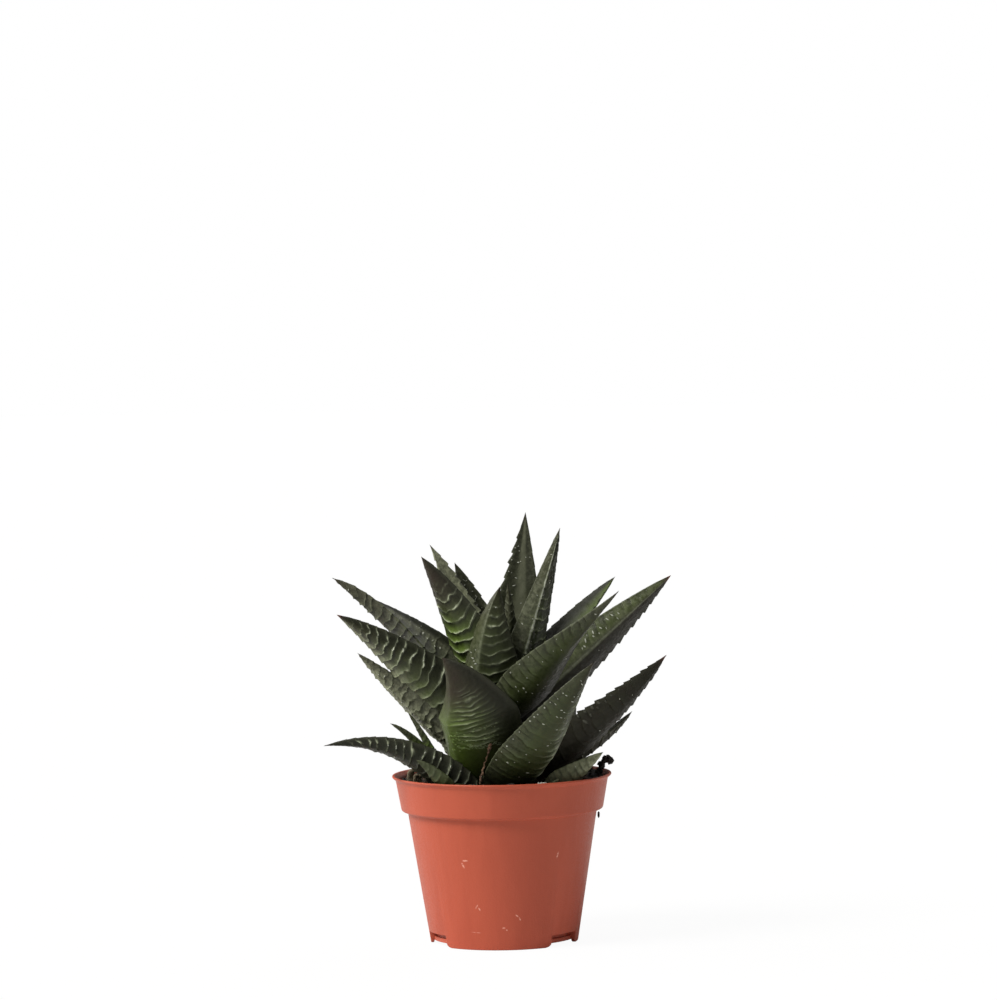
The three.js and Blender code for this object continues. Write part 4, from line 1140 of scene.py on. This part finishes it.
def soil_height(x, y):
    """The soil's surface: a shallow mound with lumps, and a swelling at the right behind."""
    distance = np.hypot(x, y) / BAND_TOP_RADIUS
    mound = SOIL_MIDDLE + (SOIL_EDGE - SOIL_MIDDLE) * distance ** 2
    lumps = np.sin(0.45 * x + 1.3) * np.cos(0.4 * y + 0.4) + 0.6 * np.sin(0.8 * x - 0.7 * y)
    heap = 2.6 * np.exp(-((x - 31) ** 2 + (y - 17) ** 2) / 120)
    return mound + heap + SOIL_LUMP * lumps * (1 - 0.5 * distance)


def ball_shape():
    """Points and faces of a coarse ball, the blank for crumbs."""
    shape = bmesh.new()
    bmesh.ops.create_icosphere(shape, subdivisions=1, radius=1)
    points = np.array([v.co for v in shape.verts])
    faces = [[v.index for v in face.verts] for face in shape.faces]
    shape.free()
    return points, faces


BALL, BALL_FACES = ball_shape()


def lump(random, low, high, dent=0.75, swell=1.2):
    """The ball stretched by low to high along each axis, and moved by dent to swell at each corner."""
    return BALL * random.uniform(low, high, (1, 3)) * random.uniform(dent, swell, (len(BALL), 1))


def somewhere(random, reach):
    """Distance and direction of an even draw over a disc."""
    return reach * math.sqrt(random.random()), random.uniform(0, 2 * math.pi)


class HAWORTHIA_OT_soil(bpy.types.Operator):
    """Fills the pot with crumbly soil, with bits of bark, fibres, grit and the curled fibre at the right"""

    bl_idname = "haworthia.soil"
    bl_label = "Potting Soil"

    def execute(self, context):
        random = np.random.default_rng(SOIL_SEED)
        add_soil_bed(random)
        add_curl(random)
        add_chips(random)
        add_grit(random)
        add_speck(random)
        return {"FINISHED"}


def add_soil_bed(random):
    """The soil itself, strewn with crumbs and short strands."""
    noise = Noise(SOIL_NOISE_SEED)
    heap = Heap()
    outline = np.array([
        (0, PLATE_TOP + GAP), (NOTCH_BACK_RADIUS - WALL - GAP, PLATE_TOP + GAP),
        (NOTCH_BACK_RADIUS - WALL - GAP, NOTCH_HEIGHT + 1.2),
        (FOOT_RADIUS - WALL + 1.0 - GAP, NOTCH_HEIGHT + 2.3),
        (BODY_TOP_RADIUS - WALL - GAP, BAND_BOTTOM + 1.2),
        (BAND_BOTTOM_RADIUS - WALL - GAP, BAND_BOTTOM + 2.2),
        (BAND_TOP_RADIUS - WALL - 0.6, SOIL_EDGE)])
    edge = outline[-1][0]
    inward = [(edge * (1 - k / SOIL_RINGS), SOIL_EDGE) for k in range(1, SOIL_RINGS + 1)]
    points, faces = turned(np.vstack([outline, inward]), SOIL_SEGMENTS)

    def relief(x, y):
        return soil_height(x, y) + SOIL_RELIEF * noise.octaves(x / SOIL_RELIEF_SPAN, y / SOIL_RELIEF_SPAN, 5)

    top = points[:, 2] > SOIL_EDGE - 0.01
    points[top, 2] = relief(points[top, 0], points[top, 1])
    heap.add(points, faces, bit=(0.1, 0, 0, 1))
    for _ in range(CRUMBS):
        radius, turn = somewhere(random, edge)
        size = random.choice(CRUMB_SIZES, p=CRUMB_SIZE_SHARES) * random.uniform(0.7, 1.3)
        radius = min(radius, edge - size)
        x, y = radius * math.cos(turn), radius * math.sin(turn)
        shape = lump(random, 0.6, 1.25)
        z = relief(x, y) + 0.25 * size
        tone = random.choice(CRUMB_TONES, p=CRUMB_TONE_SHARES)
        heap.add(shape @ turned_by(random) * size + (x, y, z), BALL_FACES, bit=(tone, 0, 0, 1))
    for _ in range(STRANDS):
        radius, turn = somewhere(random, edge - 4)
        x, y = radius * math.cos(turn), radius * math.sin(turn)
        ahead, reach = random.uniform(0, 2 * math.pi), random.uniform(1.5, 4)
        step = np.array([math.cos(ahead), math.sin(ahead)]) * reach
        z = soil_height(x, y) + 0.6
        line = smooth_line([(x - step[0], y - step[1], z - 0.4), (x, y, z + random.uniform(0.2, 1.2)),
                            (x + step[0], y + step[1], z - 0.4)], 10)
        strand, strand_faces = tube(line, random.uniform(0.12, 0.3), 5)
        heap.add(strand, strand_faces, bit=(random.uniform(0.3, 1.0), 0, 0, 1))
    settle(heap.make("soil_bed", soil_material(), smooth=False), "potting_soil", "soil")


def add_curl(random):
    """The curled fibre, knotty and set with crumbs."""
    heap = Heap()
    line = smooth_line(FIBRE_LINE, FIBRE_STEPS)
    line[:, 2] -= FIBRE_DROOP * (line[:, 2] - line[0, 2])
    knots = 0.82 + 0.18 * np.sin(np.arange(FIBRE_STEPS) * 0.9) + 0.1 * random.normal(size=FIBRE_STEPS)
    radii = FIBRE_RADIUS * knots * np.linspace(0.75, 1.05, FIBRE_STEPS)
    heap.add(*tube(line, radii, 10, 0.8, 2.0), bit=(0.2, 0, 0, 1))
    for k in range(6, FIBRE_STEPS, 2):
        size = FIBRE_RADIUS * random.uniform(0.7, 1.25) * (0.8 + 0.5 * k / FIBRE_STEPS)
        shape = lump(random, 0.7, 1.2, 0.8)
        shape = shape @ turned_by(random) * size + line[k] + 0.35 * random.normal(size=3)
        heap.add(shape, BALL_FACES, bit=(0.1, 0, 0, 1))
    settle(heap.make("bark_curl", soil_material()), "potting_soil")


def add_chips(random):
    """The bits of bark that stand at the left edge."""
    heap = Heap()
    for (x, y, z), rise, radius in CHIPS:
        line = smooth_line([(x, y, z - 2), (x - 0.3, y, z + 0.5 * rise), (x + 0.5, y - 0.6, z + rise)], 12)
        points, faces = tube(line, radius * (0.8 + 0.2 * random.random(12)), 9, 0.7, 0.8)
        heap.add(points + 0.12 * random.normal(size=points.shape), faces)
    bark = dry_material("Bark chip", (0.06, 0.045, 0.025), (0.22, 0.18, 0.11), 0.002)
    settle(heap.make("bark_chips", bark), "stem_bark")


def add_grit(random):
    """The small heap of pale grains."""
    heap = Heap()
    (across, ahead), (wide, deep), (slope_x, slope_y, height) = GRIT_PLACE, GRIT_SPREAD, GRIT_HEAP
    for _ in range(GRAINS):
        x, y = across + wide * random.normal(), ahead + deep * random.normal()
        pile = height * math.exp(-((x - across) / slope_x) ** 2 - ((y - ahead) / slope_y) ** 2)
        shape = lump(random, 0.6, 1.2)
        centre = (x, y, soil_height(x, y) + random.uniform(0.5, 1) * pile + 0.2)
        heap.add(shape @ turned_by(random) * random.uniform(0.3, 0.6) + centre, BALL_FACES)
    white = dry_material("Mineral grit", (0.25, 0.25, 0.22), (0.62, 0.62, 0.56), 0.001)
    settle(heap.make("mineral_grit", white, smooth=False), "potting_soil")


def add_speck(random):
    """The crumb of soil on the pot."""
    heap = Heap()
    shape = BALL * random.uniform(0.8, 1.15, (len(BALL), 1)) * SPECK_SIZE
    heap.add(shape + SPECK_PLACE, BALL_FACES, bit=(0.1, 0, 0, 1))
    settle(heap.make("soil_speck", soil_material()), "potting_soil")


def turned_by(random):
    """A repeatable turn in space."""
    w, x, y, z = unit(random.normal(size=4))
    return np.array([
        [1 - 2 * (y * y + z * z), 2 * (x * y - z * w), 2 * (x * z + y * w)],
        [2 * (x * y + z * w), 1 - 2 * (x * x + z * z), 2 * (y * z - x * w)],
        [2 * (x * z - y * w), 2 * (y * z + x * w), 1 - 2 * (x * x + y * y)]])


class HAWORTHIA_OT_stem(bpy.types.Operator):
    """Builds the short stem with the scars of old leaves"""

    bl_idname = "haworthia.stem"
    bl_label = "Stem"

    def execute(self, context):
        random = np.random.default_rng(STEM_SEED)
        t = np.linspace(0, 1, STEM_RINGS)
        line = np.stack([STEM_LEAN[0] * t, STEM_LEAN[1] * t, STEM_BOTTOM + (STEM_TOP - STEM_BOTTOM) * t], -1)
        scars = 0.12 * np.abs(np.sin(t * 60)) + 0.06 * random.normal(size=STEM_RINGS)
        radii = STEM_BOTTOM_RADIUS + (STEM_TOP_RADIUS - STEM_BOTTOM_RADIUS) * t - scars
        bark = dry_material("Stem bark", (0.05, 0.04, 0.02), (0.16, 0.13, 0.07), 0.004)
        settle(make_object("stem_core", *tube(line, radii, 28), bark), "stem_bark", "stem")
        return {"FINISHED"}


class HAWORTHIA_OT_leaves(bpy.types.Operator):
    """Grows every leaf, with cross ridges, toothed margins and tubercles"""

    bl_idname = "haworthia.leaves"
    bl_label = "Leaves"

    def execute(self, context):
        material = leaf_material("Waxy ridged leaf", 0.0)
        for number, facts in enumerate([*NEAR_LEAVES, *far_leaves()]):
            heap = Heap()
            leaf = Leaf(facts, LEAF_SEED + number)
            leaf.grow(heap)
            settle(heap.make(leaf.name + "_blade", material), "leaf_green", leaf.name)
        return {"FINISHED"}


class HAWORTHIA_OT_offsets(bpy.types.Operator):
    """Grows the side shoots, a few small leaves each on a stem of their own"""

    bl_idname = "haworthia.offsets"
    bl_label = "Side Shoots"

    def execute(self, context):
        material = leaf_material("Young waxy leaf", 0.1)
        for number, shoot in enumerate(OFFSETS):
            heap = Heap()
            x, y = shoot["stem"]
            line = [(x, y, z) for z in np.linspace(OFFSET_STEM_BOTTOM, OFFSET_STEM_TOP, 12)]
            heap.add(*tube(line, np.linspace(0.6, 1, 12) * OFFSET_STEM_RADIUS, 20),
                     relief=(0, 0, 0, 0), place=(0.1, 0, 0, 1), tone=(0.3, 0.1, 0.3, 1))
            for k, facts in enumerate(shoot["leaves"]):
                Leaf({**OFFSET_LOOK, **facts}, OFFSET_SEED + 10 * number + k).grow(heap)
            settle(heap.make(shoot["name"] + "_shoot", material), "offset_green", shoot["name"])
        return {"FINISHED"}


class HAWORTHIA_OT_bract(bpy.types.Operator):
    """Stands the thin dried bract between two front leaves"""

    bl_idname = "haworthia.bract"
    bl_label = "Dried Bract"

    def execute(self, context):
        random = np.random.default_rng(BRACT_SEED)
        line = smooth_line(BRACT_LINE, BRACT_RINGS)
        radii = 0.5 * BRACT_WIDTH * np.interp(np.linspace(0, 1, BRACT_RINGS), BRACT_STEPS, BRACT_SHARES)
        radii *= 1 + 0.2 * np.sin(np.arange(BRACT_RINGS) * 1.3) + 0.12 * random.normal(size=BRACT_RINGS)
        line[1:-1] += 0.15 * random.normal(size=(BRACT_RINGS - 2, 3))
        strip = tube(line, radii, 12, BRACT_THICKNESS / BRACT_WIDTH, 2.2)
        dry = dry_material("Dried bract", (0.035, 0.016, 0.01), (0.17, 0.095, 0.05), 0.0015)
        settle(make_object("bract_strip", *strip, dry), "dried_bract", "bract")
        return {"FINISHED"}


# ---------------------------------------------------------------- stage

CAMERA_PLACE = Vector((0.6, -2000, 275)) * MM
CAMERA_AIM = Vector((0.6, 0, 171)) * MM
CAMERA_ROLL = math.radians(1.0)
CAMERA_LENS = 187.33
SENSOR_WIDTH = 36
FAR_CLIP = 20
SUNS = (
    dict(name="key", azimuth=-58, elevation=45, size=26, strength=3.6),
    dict(name="side", azimuth=-112, elevation=25, size=50, strength=1.2),
    dict(name="back", azimuth=140, elevation=38, size=60, strength=0.6),
)
AMBIENT = 0.18
WHITE = (1, 1, 1, 1)
WARM_WHITE = (1.0, 0.975, 0.93)
FLOOR_HALF = 6000
FLOOR_TONES = ((0.86, 0.86, 0.86), (0.88, 0.88, 0.88))
FLOOR_SEEN_LIT = 0.95


def add_camera():
    """The photo's camera, turned a little about its own axis."""
    camera = bpy.data.cameras.new("camera")
    camera.lens = CAMERA_LENS
    camera.sensor_width = SENSOR_WIDTH
    camera.sensor_fit = "HORIZONTAL"
    camera.clip_end = FAR_CLIP
    thing = bpy.data.objects.new("camera", camera)
    ahead = (CAMERA_AIM - CAMERA_PLACE).normalized()
    right = ahead.cross(Vector((0, 0, 1))).normalized()
    up = right.cross(ahead)
    level, tilt = math.cos(CAMERA_ROLL), math.sin(CAMERA_ROLL)
    turned_right, turned_up = level * right - tilt * up, tilt * right + level * up
    thing.matrix_world = Matrix.Translation(CAMERA_PLACE) @ Matrix(
        (turned_right, turned_up, -ahead)).transposed().to_4x4()
    bpy.context.scene.collection.objects.link(thing)
    bpy.context.scene.camera = thing


def add_sun(name, azimuth, elevation, size, strength):
    """A soft light from far off. Its angles are in degrees, azimuth from the front to the right."""
    light = bpy.data.lights.new(name, "SUN")
    light.energy = strength
    light.angle = math.radians(size)
    light.color = WARM_WHITE
    thing = bpy.data.objects.new(name, light)
    thing.rotation_euler = (math.radians(90 - elevation), 0, math.radians(azimuth))
    bpy.context.scene.collection.objects.link(thing)


class HAWORTHIA_OT_stage(bpy.types.Operator):
    """Lays the pale floor and sets the camera and the soft studio light"""

    bl_idname = "haworthia.stage"
    bl_label = "Studio Stage"

    def execute(self, context):
        pale = Finish("Pale floor")
        pale.set(Base_Color=pale.mix(pale.grain(0.05)["Broad"], *FLOOR_TONES), Roughness=0.9,
                 Specular_IOR_Level=0.1)
        seen = pale.place("ShaderNodeLightPath").outputs["Is Camera Ray"]
        lit = pale.place("ShaderNodeEmission", {"Color": WHITE, "Strength": 1.0})
        mix = pale.place("ShaderNodeMixShader", {
            0: pale.times(seen, FLOOR_SEEN_LIT), 1: pale.shader.outputs[0], 2: lit.outputs[0]})
        pale.feed(pale.output.inputs["Surface"], mix.outputs[0])
        corners = [(x * FLOOR_HALF, y * FLOOR_HALF, 0) for x, y in ((-1, -1), (1, -1), (1, 1), (-1, 1))]
        floor = make_object("floor", corners, [[0, 1, 2, 3]], pale.material)
        add_camera()
        for sun in SUNS:
            add_sun(**sun)
        world = bpy.data.worlds.new("studio")
        world.use_nodes = True
        sky = Graph(world.node_tree)
        sky.tree.nodes.clear()
        light = sky.place("ShaderNodeBackground", {"Color": WHITE, "Strength": AMBIENT}).outputs[0]
        backdrop = sky.place("ShaderNodeBackground", {"Color": WHITE, "Strength": 1.0}).outputs[0]
        seen = sky.place("ShaderNodeLightPath").outputs["Is Camera Ray"]
        mix = sky.place("ShaderNodeMixShader", {0: seen, 1: light, 2: backdrop})
        sky.place("ShaderNodeOutputWorld", {0: mix.outputs[0]})
        context.scene.world = world
        context.scene.view_settings.view_transform = "Standard"
        return {"FINISHED"}


class HAWORTHIA_PT_panel(bpy.types.Panel):
    """Lists the pieces of the plant and its pot"""

    bl_idname = "HAWORTHIA_PT_panel"
    bl_label = "Potted Haworthia"
    bl_space_type = "VIEW_3D"
    bl_region_type = "UI"
    bl_category = "Haworthia"

    def draw(self, context):
        for group in (context.scene.haworthia_plant, context.scene.haworthia_pot):
            box = self.layout.box()
            for name in group.__annotations__:
                box.prop(group, name)
        for operator in OPERATORS:
            self.layout.operator(operator.bl_idname)


OPERATORS = (
    HAWORTHIA_OT_stage, HAWORTHIA_OT_pot, HAWORTHIA_OT_soil, HAWORTHIA_OT_stem, HAWORTHIA_OT_leaves,
    HAWORTHIA_OT_offsets, HAWORTHIA_OT_bract,
)
CLASSES = (PlantSettings, PotSettings, *OPERATORS, HAWORTHIA_PT_panel)


def register():
    for item in CLASSES:
        bpy.utils.register_class(item)
    bpy.types.Scene.haworthia_plant = bpy.props.PointerProperty(type=PlantSettings)
    bpy.types.Scene.haworthia_pot = bpy.props.PointerProperty(type=PotSettings)


def unregister():
    del bpy.types.Scene.haworthia_pot
    del bpy.types.Scene.haworthia_plant
    for item in reversed(CLASSES):
        bpy.utils.unregister_class(item)


def main():
    register()
    bpy.ops.haworthia.stage()
    bpy.ops.haworthia.pot()
    bpy.ops.haworthia.soil()
    bpy.ops.haworthia.stem()
    bpy.ops.haworthia.leaves()
    bpy.ops.haworthia.offsets()
    bpy.ops.haworthia.bract()


if __name__ == "__main__":
    main()
